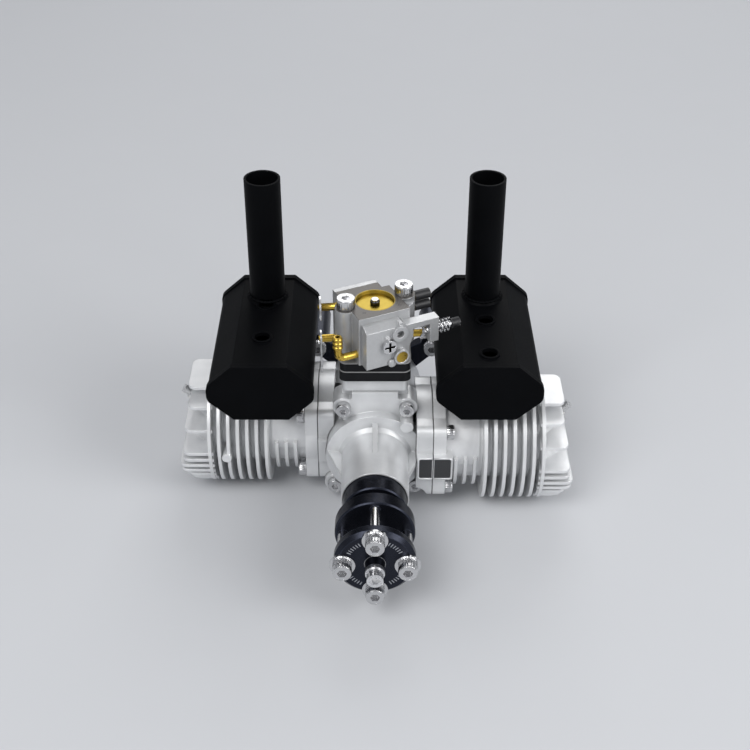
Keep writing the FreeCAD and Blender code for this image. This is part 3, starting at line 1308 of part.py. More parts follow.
def make_butterfly(name, z, left, right):
    shaft = rod(d.carb_shaft_radius, right + left, (-left, 0.0, z), "+x")
    slot = box((-d.butterfly_radius, -d.carb_shaft_radius * 2, z - d.butterfly_thickness / 2),
               (d.butterfly_radius, d.carb_shaft_radius * 2, z + d.butterfly_thickness / 2))
    screw_way = rod(0.9, 4.0, (0.0, 0.0, z - 2.0))
    tip = rod(d.carb_shaft_radius - 0.63, d.lever_thickness + 0.6, (-left, 0.0, z), "-x")
    shaft_node(f"{name}_shaft", fuse(cut(shaft, slot, screw_way), tip))
    plate_gap = 0.03
    plate = cut(rod(d.butterfly_radius, d.butterfly_thickness - 2 * plate_gap,
                    (0.0, 0.0, z - d.butterfly_thickness / 2 + plate_gap)),
                rod(0.9, 2.0, (0.0, 0.0, z - 1.0)))
    screw = fuse(rod(1.7, 1.2, (0.0, 0.0, z + d.carb_shaft_radius)),
                 rod(0.9 - plate_gap, 3.4, (0.0, 0.0, z - 1.5)))
    shaft_node(f"{name}_plate", separate(plate, screw))


def make_throttle_and_choke():
    make_butterfly("throttle", d.throttle_z, d.lever_x - d.lever_thickness, d.stop_x)
    lever = place(lever_plate(0.0, d.throttle_lever_up, d.throttle_lever_down, 2.4, d.lever_hole),
                  (-d.lever_x, 0.0, d.throttle_z))
    shaft_node("throttle_lever", separate(lever))
    arm = box((d.stop_x, -1.4, 0.0), (d.stop_x + d.stop_thickness, 1.4, d.stop_arm))
    swung = fuse(arm, rod(3.1, d.stop_thickness + 1.0, (d.stop_x, 0.0, 0.0), "+x"))
    swung.Placement.Rotation = FreeCAD.Rotation(FreeCAD.Vector(1, 0, 0), d.stop_angle.value)
    swung.setExpression("Placement.Rotation.Angle", text_of(d.stop_angle))
    shaft_node("throttle_stop", separate(place(swung, (0.0, 0.0, d.throttle_z))))
    make_butterfly("choke", d.choke_z, d.lever_x - d.lever_thickness, 12.0)
    choke = place(lever_plate(0.0, d.choke_lever_half, d.choke_lever_half, 3.0, d.lever_hole),
                  (-d.lever_x, 0.0, d.choke_z))
    shaft_node("choke_lever", separate(choke))


def check_and_write():
    """Stops on any failed object or empty shape, then writes one file for each sub-part."""
    doc.recompute()
    faulty = [item.Name for item in doc.Objects if {"Invalid", "Error"} & set(item.State)]
    for piece in NODES:
        shape = piece.Shape
        if shape.isNull() or not shape.isValid() or not shape.Solids:
            faulty.append(piece.Label)
    if faulty:
        raise RuntimeError("failed: " + ", ".join(faulty))
    os.makedirs("parts", exist_ok=True)
    for piece in NODES:
        piece.Shape.exportStep(os.path.join("parts", piece.Label + ".step"))


make_crankcase()
make_front_housing()
make_bearings()
make_crankshaft()
make_drive_hub()
make_propeller_washer()
make_propeller_bolts()
make_piston_set("left", -1, left_y)
make_piston_set("right", 1, right_y)
make_cylinder("left", left_y, Size("180", 180.0))
make_cylinder("right", right_y, Size("0", 0.0))
make_muffler("left", -1, left_y)
make_muffler("right", 1, right_y)
make_exhaust_joints()
make_base_gaskets_and_bolts()
make_housing_bolts()
make_rear_mount()
make_intake()
make_carburettor_body()
make_pump_cover()
make_carburettor_bolts()
make_fuel_elbow()
make_idle_screw()
make_needles()
make_throttle_and_choke()
check_and_write()
print(len(NODES), "sub-parts written")
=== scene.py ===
"""Looks of a flat twin two-stroke engine: finishes for its pieces, fine added pieces and a studio."""
import json
import math

import bpy
import numpy as np
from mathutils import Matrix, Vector


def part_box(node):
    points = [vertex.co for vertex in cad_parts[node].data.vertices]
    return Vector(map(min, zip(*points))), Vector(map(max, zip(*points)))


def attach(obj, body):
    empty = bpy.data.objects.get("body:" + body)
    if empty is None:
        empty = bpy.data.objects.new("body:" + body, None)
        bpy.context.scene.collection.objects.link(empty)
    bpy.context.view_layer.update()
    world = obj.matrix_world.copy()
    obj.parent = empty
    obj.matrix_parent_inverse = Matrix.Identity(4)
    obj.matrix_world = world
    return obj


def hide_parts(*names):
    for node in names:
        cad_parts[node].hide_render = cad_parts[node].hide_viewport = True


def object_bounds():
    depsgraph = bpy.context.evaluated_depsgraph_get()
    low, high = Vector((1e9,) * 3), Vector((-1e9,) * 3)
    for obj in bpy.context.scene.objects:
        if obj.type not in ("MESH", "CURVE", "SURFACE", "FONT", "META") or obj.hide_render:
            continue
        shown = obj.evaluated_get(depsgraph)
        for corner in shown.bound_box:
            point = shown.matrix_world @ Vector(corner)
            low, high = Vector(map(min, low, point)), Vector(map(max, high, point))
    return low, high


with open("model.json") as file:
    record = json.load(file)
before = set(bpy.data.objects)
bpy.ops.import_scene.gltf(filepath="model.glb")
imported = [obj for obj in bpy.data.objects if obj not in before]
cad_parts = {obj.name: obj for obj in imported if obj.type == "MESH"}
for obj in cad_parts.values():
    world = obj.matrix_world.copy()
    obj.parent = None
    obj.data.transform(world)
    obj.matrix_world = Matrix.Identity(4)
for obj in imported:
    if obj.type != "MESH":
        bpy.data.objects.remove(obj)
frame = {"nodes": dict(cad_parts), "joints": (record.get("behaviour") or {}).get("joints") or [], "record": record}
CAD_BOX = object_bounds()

bl_info = {
    "name": "Flat Twin Engine Looks",
    "version": (1, 0, 0),
    "blender": (4, 5, 0),
    "location": "View3D > Sidebar > Engine",
    "description": "Finishes, fine added pieces and a studio for a flat twin two-stroke engine",
    "category": "Object",
}

MM = 0.001
TAU = 2.0 * math.pi
NODES = frame["nodes"]
JOINTS = {joint["name"]: joint for joint in frame["joints"]}
MOUNTS = {mount["name"]: mount for mount in frame["record"]["mounts"]}

# Cap screws, in millimetres: radius and height of a head, and the places of the screws
SMALL_HEAD = (3.5, 4.0)
LARGE_HEAD = (4.25, 5.3)
CYLINDER_SCREWS = (20.5, 17.0)
HOUSING_SCREWS = ((15.8, 27.5), (20.6, -20.6))
MOUNT_SCREWS = (30.4, 25.0)
CARBURETTOR_SCREWS_OUT = 15.5
DRIVE_SCREWS_OUT = 15.0
DRIVE_SCREW_WASHER = 1.2

# The blank box on the right of the case, in millimetres: ends along X of its recess and of its rims
BOX_REACH = 28.3
RECESS_HALF_HEIGHT = 5.9
CASE_RECESS = (21.9, 28.5)
FLANGE_RECESS = (29.6, 37.9)
CASE_RIM = (28.55, 21.6)
FLANGE_RIM = (29.55, 38.3)
RIM_HALF_HEIGHT = 6.35
RIM_CORNER = 1.4

# Carburettor, in millimetres: a spot is across, front and up from the foot of the throat
THROAT_LINING_RADIUS = 9.85
DECK_PLUGS = ((-5.16, -86.04), (11.91, -78.78))
DECK_PLUG_RING = (0.45, 0.85)
COVER_LOBE_SEAT = (0.2, 17.9, 1.0)
CROSS_SCREW_ACROSS = -1.7
CROSS_SCREW_FRONT = 21.1
CROSS_SCREW_UP = 11.3
CROSS_SLOT_DEPTHS = (0.12, 1.3)
CROSS_SLOT_REACH = 3.45
PLATE_SCREW_RADIUS = 1.75
NEEDLE_CAP_START = -1.05
IDLE_KNOB_START = 3.3
ELBOW_MOUTH = (-24.6, 10.5, 17.4)
RINGS_HEIGHT = 6.9
RING_SPACING = 2.3
RING_RISE = 0.62
RINGS_INNER_RADIUS = 1.8
RINGS_RADIUS = 1.92

# Spark plug, in millimetres above its seat
PLUG_HEIGHT = 10.1
PLUG_WASHER_TOP = 1.07
PLUG_INSULATOR = (5.12, 7.95)

# Muffler and propeller drive, in millimetres
PIPE_BEAD_BELOW_PIPE_END = 65.4
PIPE_BEAD_OUT = 0.35
NOSE_START = 4.6
TICK_BAND = (12.6, 14.6)

# The photograph's view, in metres, degrees and millimetres, and the lamps: place, size and power
CAMERA_PLACE = (0.0, -0.61776, 0.41337)
CAMERA_LOOKS_DOWN = 34.79
LENS_MM = 63.015
SENSOR_MM = 36.0
LAMP_TARGET = Vector((0.0, -0.07, 0.02))
LAMPS = (
    ("key", (-0.68, -1.08, 1.32), 0.95, 16.0),
    ("fill", (1.15, -0.75, 0.80), 0.85, 12.5),
    ("rim", (0.2, 1.2, 1.05), 0.9, 6.5),
)
FLOOR_GAP_MM = 0.4
FLOOR_REACH = 4.0
FLOOR_PALE_FROM_MM = 1500.0

# Places that the frame gives, in metres
THROTTLE_SHAFT = Vector(JOINTS["throttle_turn"]["pos_m"])
CHOKE_SHAFT = Vector(JOINTS["choke_turn"]["pos_m"])
SHAFT_WAY = -Vector(JOINTS["choke_turn"]["axis"]).normalized()
NEEDLE_WAY = Vector(JOINTS["high_needle_turn"]["axis"]).normalized()
FRONT_WAY = NEEDLE_WAY.cross(Vector((0.0, 0.0, 1.0)))
THROAT = Vector((THROTTLE_SHAFT.x, THROTTLE_SHAFT.y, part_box("carburettor_body")[0].z))
LEFT_AXIS_Y = sum(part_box("left_piston")[k].y for k in (0, 1)) / 2
RIGHT_AXIS_Y = sum(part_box("right_piston")[k].y for k in (0, 1)) / 2
FLANGE_FACE_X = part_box("cylinder_bolts")[1].x - SMALL_HEAD[1] * MM
HOUSING_FACE_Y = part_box("housing_bolts")[0].y + SMALL_HEAD[1] * MM
WASHER_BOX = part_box("propeller_washer")
PROPELLER_SEAT_Y = WASHER_BOX[0].y - DRIVE_SCREW_WASHER * MM
MOUNT_FACE_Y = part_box("rear_mount")[0].y
BOX_FRONT_Y = RIGHT_AXIS_Y - BOX_REACH * MM
DECK_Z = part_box("carburettor_body")[1].z


class Value:
    """A shader socket that adds, scales and compares like a number."""

    def __init__(self, paint, socket):
        self.paint = paint
        self.socket = socket

    def maths(self, operation, first, second=0.0):
        return self.paint.make("ShaderNodeMath", {"operation": operation}, {0: first, 1: second})

    def __add__(self, other):
        return self.maths("ADD", self, other)

    __radd__ = __add__

    def __sub__(self, other):
        return self.maths("SUBTRACT", self, other)

    def __rsub__(self, other):
        return self.maths("SUBTRACT", other, self)

    def __mul__(self, other):
        return self.maths("MULTIPLY", self, other)

    __rmul__ = __mul__

    def __gt__(self, other):
        return self.maths("GREATER_THAN", self, other)

    def __lt__(self, other):
        return self.maths("LESS_THAN", self, other)

    def __abs__(self):
        return self.maths("ABSOLUTE", self)

    def power(self, exponent):
        return self.maths("POWER", self, exponent)

    def sine(self):
        return self.maths("SINE", self)

    def cosine(self):
        return self.maths("COSINE", self)

    def larger(self, other):
        return self.maths("MAXIMUM", self, other)

    def kept(self):
        """The value held between 0 and 1."""
        return self.maths("MINIMUM", self.larger(0.0), 1.0)


class Shading:
    """Makes the nodes of one node tree."""

    def __init__(self, tree):
        self.tree = tree

    def make(self, kind, settings=None, inputs=None, output=0):
        """Adds a node, sets its settings first and its inputs next, and gives one of its outputs."""
        node = self.tree.nodes.new(kind)
        for key, value in (settings or {}).items():
            if key == "stops":
                self.set_stops(node.color_ramp, value)
            else:
                setattr(node, key, value)
        for key, value in (inputs or {}).items():
            self.feed(node.inputs[key], value)
        return Value(self, node.outputs[output])

    def set_stops(self, ramp, stops):
        """Gives a ramp its stops: the first and the last are there, the others are added between."""
        ends = (ramp.elements[0], ramp.elements[1])
        for stop, (position, colour) in zip(ends, (stops[0], stops[-1])):
            stop.position = position
            stop.color = colour
        for position, colour in stops[1:-1]:
            ramp.elements.new(position).color = colour

    def feed(self, socket, value):
        if isinstance(value, Value):
            self.tree.links.new(value.socket, socket)
        else:
            socket.default_value = value

    def mix(self, factor, first, second):
        """A colour between two colours."""
        ends = {6: first if isinstance(first, Value) else (*first, 1.0),
                7: second if isinstance(second, Value) else (*second, 1.0)}
        return self.make("ShaderNodeMix", {"data_type": "RGBA"}, {0: factor, **ends}, output=2)


class Paint(Shading):
    """One finish: a Principled shader and the nodes that vary it over the piece, in millimetres."""

    def __init__(self, name, colour, metallic, roughness, specular=0.5):
        self.material = bpy.data.materials.new(name)
        self.material.use_nodes = True
        super().__init__(self.material.node_tree)
        self.shader = self.tree.nodes["Principled BSDF"]
        self.set_input("Base Color", (*colour, 1.0))
        self.set_input("Metallic", metallic)
        self.set_input("Roughness", roughness)
        self.set_input("Specular IOR Level", specular)
        place = self.make("ShaderNodeTexCoord", output="Object")
        self.mm = self.make("ShaderNodeVectorMath", {"operation": "SCALE"}, {0: place, "Scale": 1.0 / MM})
        self.x = self.along((1.0, 0.0, 0.0))
        self.y = self.along((0.0, 1.0, 0.0))
        self.z = self.along((0.0, 0.0, 1.0))
        self.normal = None

    def along(self, way, spot=None):
        """How far along a direction a spot lies, in millimetres."""
        return self.make("ShaderNodeVectorMath", {"operation": "DOT_PRODUCT"},
                         {0: spot or self.mm, 1: tuple(way)}, output=1)

    def set_input(self, name, value):
        self.feed(self.shader.inputs[name], value)

    def tone(self):
        """The colour that the shader has so far."""
        return Value(self, self.shader.inputs["Base Color"].links[0].from_socket)

    def noise(self, per_mm, detail=3.0, roughness=0.55, squeeze=(1.0, 1.0, 1.0)):
        """Noise of the given number of lumps to a millimetre, squeezed along X, Y and Z."""
        spot = self.make("ShaderNodeVectorMath", {"operation": "MULTIPLY"}, {0: self.mm, 1: squeeze})
        return self.make("ShaderNodeTexNoise", {"noise_dimensions": "3D"},
                         {"Vector": spot, "Scale": per_mm, "Detail": detail, "Roughness": roughness})

    def distance(self, point, way):
        """How far along a direction a spot lies from a point, in millimetres."""
        from_point = self.make("ShaderNodeVectorMath", {"operation": "SUBTRACT"},
                               {0: self.mm, 1: tuple(Vector(point) / MM)})
        return self.along(way, from_point)

    def radius(self, first, second):
        """The distance from an axis, of two offsets at right angles to it."""
        return (first * first + second * second).power(0.5)

    def edges(self, size_mm, strength):
        """Rounds the shading at sharp edges, and gives a mask that is 1 on them."""
        self.normal = self.make("ShaderNodeBevel", {"samples": 6}, {"Radius": size_mm * MM})
        flat = self.make("ShaderNodeNewGeometry", output="Normal")
        same = self.make("ShaderNodeVectorMath", {"operation": "DOT_PRODUCT"},
                         {0: self.normal, 1: flat}, output=1)
        self.set_input("Normal", self.normal)
        return ((1.0 - same) * strength).kept()

    def crevice(self, reach_mm):
        """A mask of painted shade that is 1 deep in a crevice or between fins, and 0 on open faces."""
        open_share = self.make("ShaderNodeAmbientOcclusion", {"samples": 6},
                               {"Distance": reach_mm * MM}, output=1)
        return (1.0 - open_share).kept()

    def bump(self, height, depth_mm):
        """Raises the surface by a height from 0 to 1 times a depth."""
        inputs = {"Height": height, "Distance": depth_mm * MM, "Strength": 1.0}
        if self.normal is not None:
            inputs["Normal"] = self.normal
        self.normal = self.make("ShaderNodeBump", inputs=inputs)
        self.set_input("Normal", self.normal)

    def dress(self, *names):
        for name in names:
            piece = NODES[name] if name in NODES else bpy.data.objects[name]
            piece.data.materials.clear()
            piece.data.materials.append(self.material)


def grid_faces(rows, columns, round_u, round_v):
    """The faces of a grid of points: rows follow u, columns follow v, and either may close."""
    index = np.arange(rows * columns).reshape(rows, columns)
    u = np.arange(rows if round_u else rows - 1)
    v = np.arange(columns if round_v else columns - 1)
    here = index[np.ix_(u, v)]
    next_u = index[np.ix_((u + 1) % rows, v)]
    next_v = index[np.ix_(u, (v + 1) % columns)]
    next_both = index[np.ix_((u + 1) % rows, (v + 1) % columns)]
    return np.stack([here, next_u, next_both, next_v], axis=-1).reshape(-1, 4)


def surface(name, points, body, round_u=False, round_v=False, caps=False):
    """A smooth mesh through a grid of points, whose first and last rows may be closed by flat caps."""
    rows, columns = points.shape[:2]
    faces = grid_faces(rows, columns, round_u, round_v).tolist()
    if caps:
        first = list(range(columns))
        last = [(rows - 1) * columns + k for k in reversed(first)]
        faces += [first, last]
    return mesh_piece(name, points.reshape(-1, 3), faces, body)


def mesh_piece(name, points, faces, body):
    """A shaded mesh from arrays of points and faces that rides on a body."""
    mesh = bpy.data.meshes.new(name)
    mesh.from_pydata(points.tolist(), [], faces)
    mesh.polygons.foreach_set("use_smooth", np.ones(len(faces), dtype=bool))
    mesh.update()
    piece = bpy.data.objects.new(name, mesh)
    bpy.context.scene.collection.objects.link(piece)
    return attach(piece, body)


def joined(name, grids, body):
    """Several rings of one shape, closed both ways, as one mesh."""
    rows, columns = grids[0].shape[:2]
    quads = grid_faces(rows, columns, True, True)
    faces = np.concatenate([quads + k * rows * columns for k in range(len(grids))])
    return mesh_piece(name, np.concatenate([g.reshape(-1, 3) for g in grids]), faces.tolist(), body)


def frame_of(way):
    """Two directions at right angles to a way."""
    way = np.array(way, float)
    helper = np.array([0.0, 0.0, 1.0]) if abs(way[2]) < 0.9 else np.array([1.0, 0.0, 0.0])
    across = np.cross(helper, way)
    across /= np.linalg.norm(across)
    return across, np.cross(way, across)


def turned_grid(centre, way, radii, heights):
    """Carries a profile round an axis: at height h and angle v the point is the centre plus h along
    the way plus radius(h, v) across it. Radii is one row of angles for each height."""
    across, up = frame_of(way)
    angle = np.linspace(0.0, TAU, radii.shape[1], endpoint=False)
    ring = np.cos(angle)[:, None] * across - np.sin(angle)[:, None] * up
    return (np.array(centre, float) + np.asarray(heights)[:, None, None] * np.array(way, float)
            + radii[:, :, None] * ring[None])


def knurled_head(seat, way, radius, height):
    """The side of a cap screw's head: its radius rises and falls as the absolute sine of the angle
    times the ridge count, over a profile that rolls into the flat top."""
    ridges = looks().knurl_ridges
    angle = np.linspace(0.0, TAU, ridges * 4, endpoint=False)
    ridge = np.abs(np.sin(angle * ridges / 2)) * looks().knurl_depth
    profile = np.array([(0.02, 0.0, 0.02), (0.05, 1.0, 0.10), (0.05, 1.0, 0.82), (0.02, 0.3, 0.93),
                        (-0.30, 0.0, 1.0), (-0.62, 0.0, 1.0), (-0.66, 0.0, 0.97)])
    radii = radius + profile[:, 0:1] * MM + profile[:, 1:2] * ridge[None]
    heights = profile[:, 2] * (height + 0.03 * MM)
    return turned_grid(seat, way, radii, heights)


def tube_grid(path, radius, sides, up):
    """Carries a circle along a path: each ring lies across the path's own direction."""
    way = np.gradient(path, axis=0)
    way /= np.linalg.norm(way, axis=1)[:, None]
    across = np.cross(way, up)
    across /= np.linalg.norm(across, axis=1)[:, None]
    above = np.cross(across, way)
    angle = np.linspace(0.0, TAU, sides, endpoint=False)
    return (path[:, None] + radius * np.cos(angle)[None, :, None] * across[:, None]
            + radius * np.sin(angle)[None, :, None] * above[:, None])


def colour_setting(name, description, default):
    """A colour among the settings."""
    return bpy.props.FloatVectorProperty(name=name, description=description, subtype="COLOR", size=3,
                                         default=default, min=0.0, max=1.0)


class EngineLooks(bpy.types.PropertyGroup):
    """Sizes and colours of the finishes and of the added pieces."""

    deck: colour_setting("Milled deck", "Colour of the carburettor's milled top", (0.115, 0.108, 0.101))
    casting: colour_setting("Casting", "Colour of the blasted castings", (0.83, 0.84, 0.85))
    machined: colour_setting("Machined edge", "Colour of cut edges and turned faces", (0.93, 0.93, 0.94))
    muffler: colour_setting("Muffler black", "Colour of the heat-proof paint", (0.0020, 0.0022, 0.0027))
    anodised: colour_setting("Anodised black", "Colour of the propeller drive", (0.016, 0.018, 0.026))
    # The drive's edge colour is a painted highlight.
    anodised_edge_highlight: colour_setting("Anodised rim", "Colour on the drive's edges", (0.10, 0.12, 0.18))
    steel: colour_setting("Steel", "Colour of plated screws", (0.74, 0.74, 0.75))
    brass: colour_setting("Brass", "Colour of turned brass", (0.72, 0.49, 0.09))
    throat_brass: colour_setting("Throat brass", "Colour of the lined throat and its plates",
                                 (0.40, 0.29, 0.045))
    copper: colour_setting("Copper", "Colour of the plug washers", (0.70, 0.32, 0.20))
    grain_depth: bpy.props.FloatProperty(
        name="Grain depth", description="Depth of the casting skin, in millimetres", default=0.035,
        min=0.0, max=0.2)
    knurl_ridges: bpy.props.IntProperty(
        name="Knurl ridges", description="Ridges round a cap screw's head", default=26, min=8, max=60)
    knurl_depth: bpy.props.FloatProperty(
        name="Knurl depth", description="Height of a cap screw's ridges", default=0.00022,
        min=0.0, max=0.0005, unit="LENGTH")
    weld_radius: bpy.props.FloatProperty(
        name="Weld bead", description="Half thickness of the bead round a tail pipe", default=0.00075,
        min=0.0002, max=0.002, unit="LENGTH")
    rim_half_width: bpy.props.FloatProperty(
        name="Rim half width", description="Half width of the rims on the right case box", default=0.0005,
        min=0.0002, max=0.001, unit="LENGTH")
    floor_grey: colour_setting("Floor", "Colour of the studio floor", (0.60, 0.61, 0.63))


def looks():
    return bpy.context.scene.engine_looks


def shade(colour, factor, lift=0.0):
    """A colour made darker or lighter, and kept within range."""
    return tuple(min(1.0, c * factor + lift) for c in colour)


def carburettor_spot(across, front, up):
    """A place given in millimetres from the foot of the carburettor's throat, along its own sides."""
    return THROAT + (NEEDLE_WAY * across + FRONT_WAY * front + Vector((0.0, 0.0, up))) * MM


def cast_paint(name, colour, grain_per_mm, grain_depth, roughness=0.4, mottle=0.25, painted_shade_depth=0.55):
    """A blasted casting: fine pits, cloudy tone, edges brightened by wear, and painted shade that darkens
    crevices.
    """
    paint = Paint(name, colour, 0.5, roughness)
    edge_wear_and_highlight = paint.edges(0.45, 5.0)
    cloud = paint.noise(0.09, 4.0)
    speckle = paint.noise(grain_per_mm, 2.0, 0.7)
    tone = paint.mix((cloud - 0.35).kept() * 0.9 + speckle * mottle, shade(colour, 0.82),
                     shade(colour, 1.12))
    # Painted shade: ambient occlusion darkens the colour in crevices and between fins.
    shade_painted_tone = paint.mix(paint.crevice(5.0) * painted_shade_depth, tone, shade(colour, 0.36))
    paint.set_input("Base Color", paint.mix(edge_wear_and_highlight * 0.75, shade_painted_tone, tuple(looks().machined)))
    paint.set_input("Roughness", (roughness - 0.07 + speckle * 0.16) * (1.0 - edge_wear_and_highlight * 0.35))
    paint.bump(speckle * 0.7 + paint.noise(grain_per_mm * 0.45, 2.0) * 0.6, grain_depth)
    return paint


def steel_paint(name, colour, roughness=0.26, lathe=0.0):
    """Plated or ground steel: faint drag marks, small stains and bright edges."""
    paint = Paint(name, colour, 1.0, roughness)
    edge_wear_and_highlight = paint.edges(0.18, 4.0)
    drag = paint.noise(1.4, 3.0, 0.6, (1.0, 7.0, 1.0))
    stain = paint.noise(0.55, 4.0)
    paint.set_input("Base Color", paint.mix(edge_wear_and_highlight * 0.6 + (drag - 0.5) * 0.3, shade(colour, 0.88),
                                            shade(colour, 1.25)))
    paint.set_input("Roughness", (roughness - 0.06 + stain * 0.16) * (1.0 - edge_wear_and_highlight * 0.3))
    paint.bump(drag, 0.004 + lathe)
    return paint


class ENGINE_OT_castings(bpy.types.Operator):
    """Finishes the crankcase, front housing, covers and cylinders as blasted castings"""

    bl_idname = "engine.castings"
    bl_label = "Castings"

    def execute(self, context):
        colour = tuple(looks().casting)
        case = cast_paint("case_casting", colour, 2.6, looks().grain_depth)
        self.recess(case, *CASE_RECESS)
        case.dress("crankcase", "front_housing", "rear_cover")
        # The cylinders take a lighter copy of the casting colour: painted light that makes up for the shade
        # between their fins.
        painted_light_casting = shade(colour, 1.1)
        fins = cast_paint("cylinder_casting", painted_light_casting, 2.2, looks().grain_depth * 1.2, 0.42, painted_shade_depth=0.12)
        self.recess(fins, *FLANGE_RECESS)
        fins.dress("left_cylinder", "right_cylinder")
        return {"FINISHED"}

    def recess(self, paint, low_x, high_x):
        """The dark ground inside the rims on the flat front of the right case box, left blank."""
        inside = (paint.x > low_x) * (paint.x < high_x) * (abs(paint.z) < RECESS_HALF_HEIGHT)
        face = abs(paint.y - BOX_FRONT_Y / MM) < 0.12
        ground = paint.mix(paint.noise(3.0, 2.0), (0.035, 0.036, 0.038), (0.08, 0.082, 0.086))
        paint.set_input("Base Color", paint.mix(inside * face, paint.tone(), ground))


class ENGINE_OT_carburettor(bpy.types.Operator):
    """Finishes the carburettor's castings, its brass throat and its black blocks"""

    bl_idname = "engine.carburettor"
    bl_label = "Carburettor"

    def execute(self, context):
        colour = shade(looks().casting, 0.62)
        body = cast_paint("carburettor_casting", colour, 3.4, looks().grain_depth * 0.6, 0.4)
        throat_mm = THROAT / MM
        off_axis = body.radius(body.x - throat_mm.x, body.y - throat_mm.y)
        deck = body.z > DECK_Z / MM - 0.05
        swirl = (off_axis * 5.0).sine() * 0.5 + body.noise(1.1) * 0.5
        milled = body.mix(swirl, tuple(looks().deck), shade(looks().deck, 1.35))
        for plug_x, plug_y in DECK_PLUGS:
            plug = body.radius(body.x - plug_x, body.y - plug_y)
            ring = (plug < DECK_PLUG_RING[1]) * (plug > DECK_PLUG_RING[0])
            milled = body.mix(ring, milled, (0.05, 0.05, 0.05))
        tone = body.mix(deck, body.tone(), milled)
        lining = off_axis < THROAT_LINING_RADIUS
        body.set_input("Base Color", body.mix(lining, tone, tuple(looks().throat_brass)))
        body.dress("carburettor_body")
        cover = cast_paint("pump_cover_casting", colour, 1.4, looks().grain_depth * 3.4, 0.34, 0.9)
        self.cover_lobe()
        cover.dress("pump_cover", "metering_cover", "pump_cover_lobe")
        block = Paint("moulded_black", (0.016, 0.016, 0.017), 0.0, 0.42, specular=0.2)
        block.edges(0.3, 3.0)
        skin = block.noise(2.4, 2.0)
        block.set_input("Base Color", block.mix(block.noise(0.2), (0.003, 0.0035, 0.004),
                                                (0.008, 0.008, 0.01)))
        block.set_input("Roughness", 0.34 + skin * 0.18)
        block.bump(skin, 0.012)
        block.dress("insulator_block", "reed_block", "ignition_pickup")
        return {"FINISHED"}

    def cover_lobe(self):
        """The small lobe at the foot of the pump cover: a turned profile, at height h and angle v the
        radius of that height, rounded at its front."""
        profile = np.array([(2.2, 0.0), (2.2, 1.7), (2.1, 2.0), (1.85, 2.25), (1.4, 2.4), (0.7, 2.48)])
        radii = np.repeat(profile[:, 0:1], 36, axis=1) * MM
        seat = carburettor_spot(*COVER_LOBE_SEAT)
        turned = turned_grid(seat, FRONT_WAY, radii, profile[:, 1] * MM)
        lobe = surface("pump_cover_lobe", turned, "engine", round_v=True, caps=True)


class ENGINE_OT_steel(bpy.types.Operator):
    """Finishes screws, levers, pistons and the crank train as plated, ground and turned metal"""

    bl_idname = "engine.steel"
    bl_label = "Steel pieces"

    def execute(self, context):
        bright = steel_paint("plated_steel", tuple(looks().steel), 0.17)
        bright.dress("cylinder_bolts", "housing_bolts", "mount_bolts", "carburettor_bolts",
                     "throttle_stop", "idle_screw_spring", "reed_petals")
        plated = steel_paint("zinc_plate", (0.90, 0.90, 0.91), 0.34)
        plated.dress("throttle_lever", "choke_lever")
        self.cross_screw().dress("cover_screws")
        ground = steel_paint("ground_steel", (0.52, 0.52, 0.53), 0.3, 0.002)
        ground.dress("crankshaft", "middle_crank_web", "rear_crank_web", "bearing_inner_rings",
                     "bearing_outer_rings")
        for side in ("left", "right"):
            ground.dress(*[f"{side}_{part}" for part in
                           ("piston_rings", "wrist_pin", "connecting_rod", "crankpin")])
        alloy = steel_paint("turned_alloy", (0.72, 0.72, 0.73), 0.33, 0.004)
        alloy.dress("left_piston", "right_piston")
        dark = steel_paint("dark_steel", (0.09, 0.09, 0.095), 0.36)
        dark.dress("exhaust_bolts")
        return {"FINISHED"}

    def cross_screw(self):
        """Bright plate with painted shade: a black cross at the bottom of the pump cover screw's slots."""
        paint = steel_paint("cross_screw_plate", tuple(looks().steel), 0.2)
        face = carburettor_spot(CROSS_SCREW_ACROSS, CROSS_SCREW_FRONT, CROSS_SCREW_UP)
        depth = paint.distance(face, -FRONT_WAY)
        slots = (depth > CROSS_SLOT_DEPTHS[0]) * (depth < CROSS_SLOT_DEPTHS[1])
        off_axis = paint.radius(paint.distance(face, NEEDLE_WAY), paint.z - face.z / MM)
        # Painted shade: the bottoms of the slots are black.
        paint.set_input("Base Color", paint.mix(slots * (off_axis < CROSS_SLOT_REACH), paint.tone(),
                                                (0.02, 0.02, 0.02)))
        return paint


def banded_paint(name, far, near, start, way, edge_mm, metals, roughness):
    """Two finishes on one piece, met at a distance along an axis."""
    paint = Paint(name, near, metals[0], roughness[0])
    edge_wear_and_highlight = paint.edges(0.15, 4.0)
    past = paint.distance(start, way) > edge_mm
    stain = paint.noise(1.1, 3.0)
    tone = paint.mix(past, paint.mix(stain, shade(near, 0.85), shade(near, 1.1)),
                     paint.mix(stain, shade(far, 0.8), shade(far, 1.3)))
    paint.set_input("Base Color", paint.mix(edge_wear_and_highlight * 0.4, tone, shade(near, 1.2, 0.03)))
    paint.set_input("Metallic", metals[0] + past * (metals[1] - metals[0]))
    paint.set_input("Roughness", roughness[0] + past * (roughness[1] - roughness[0]) + stain * 0.08)
    return paint


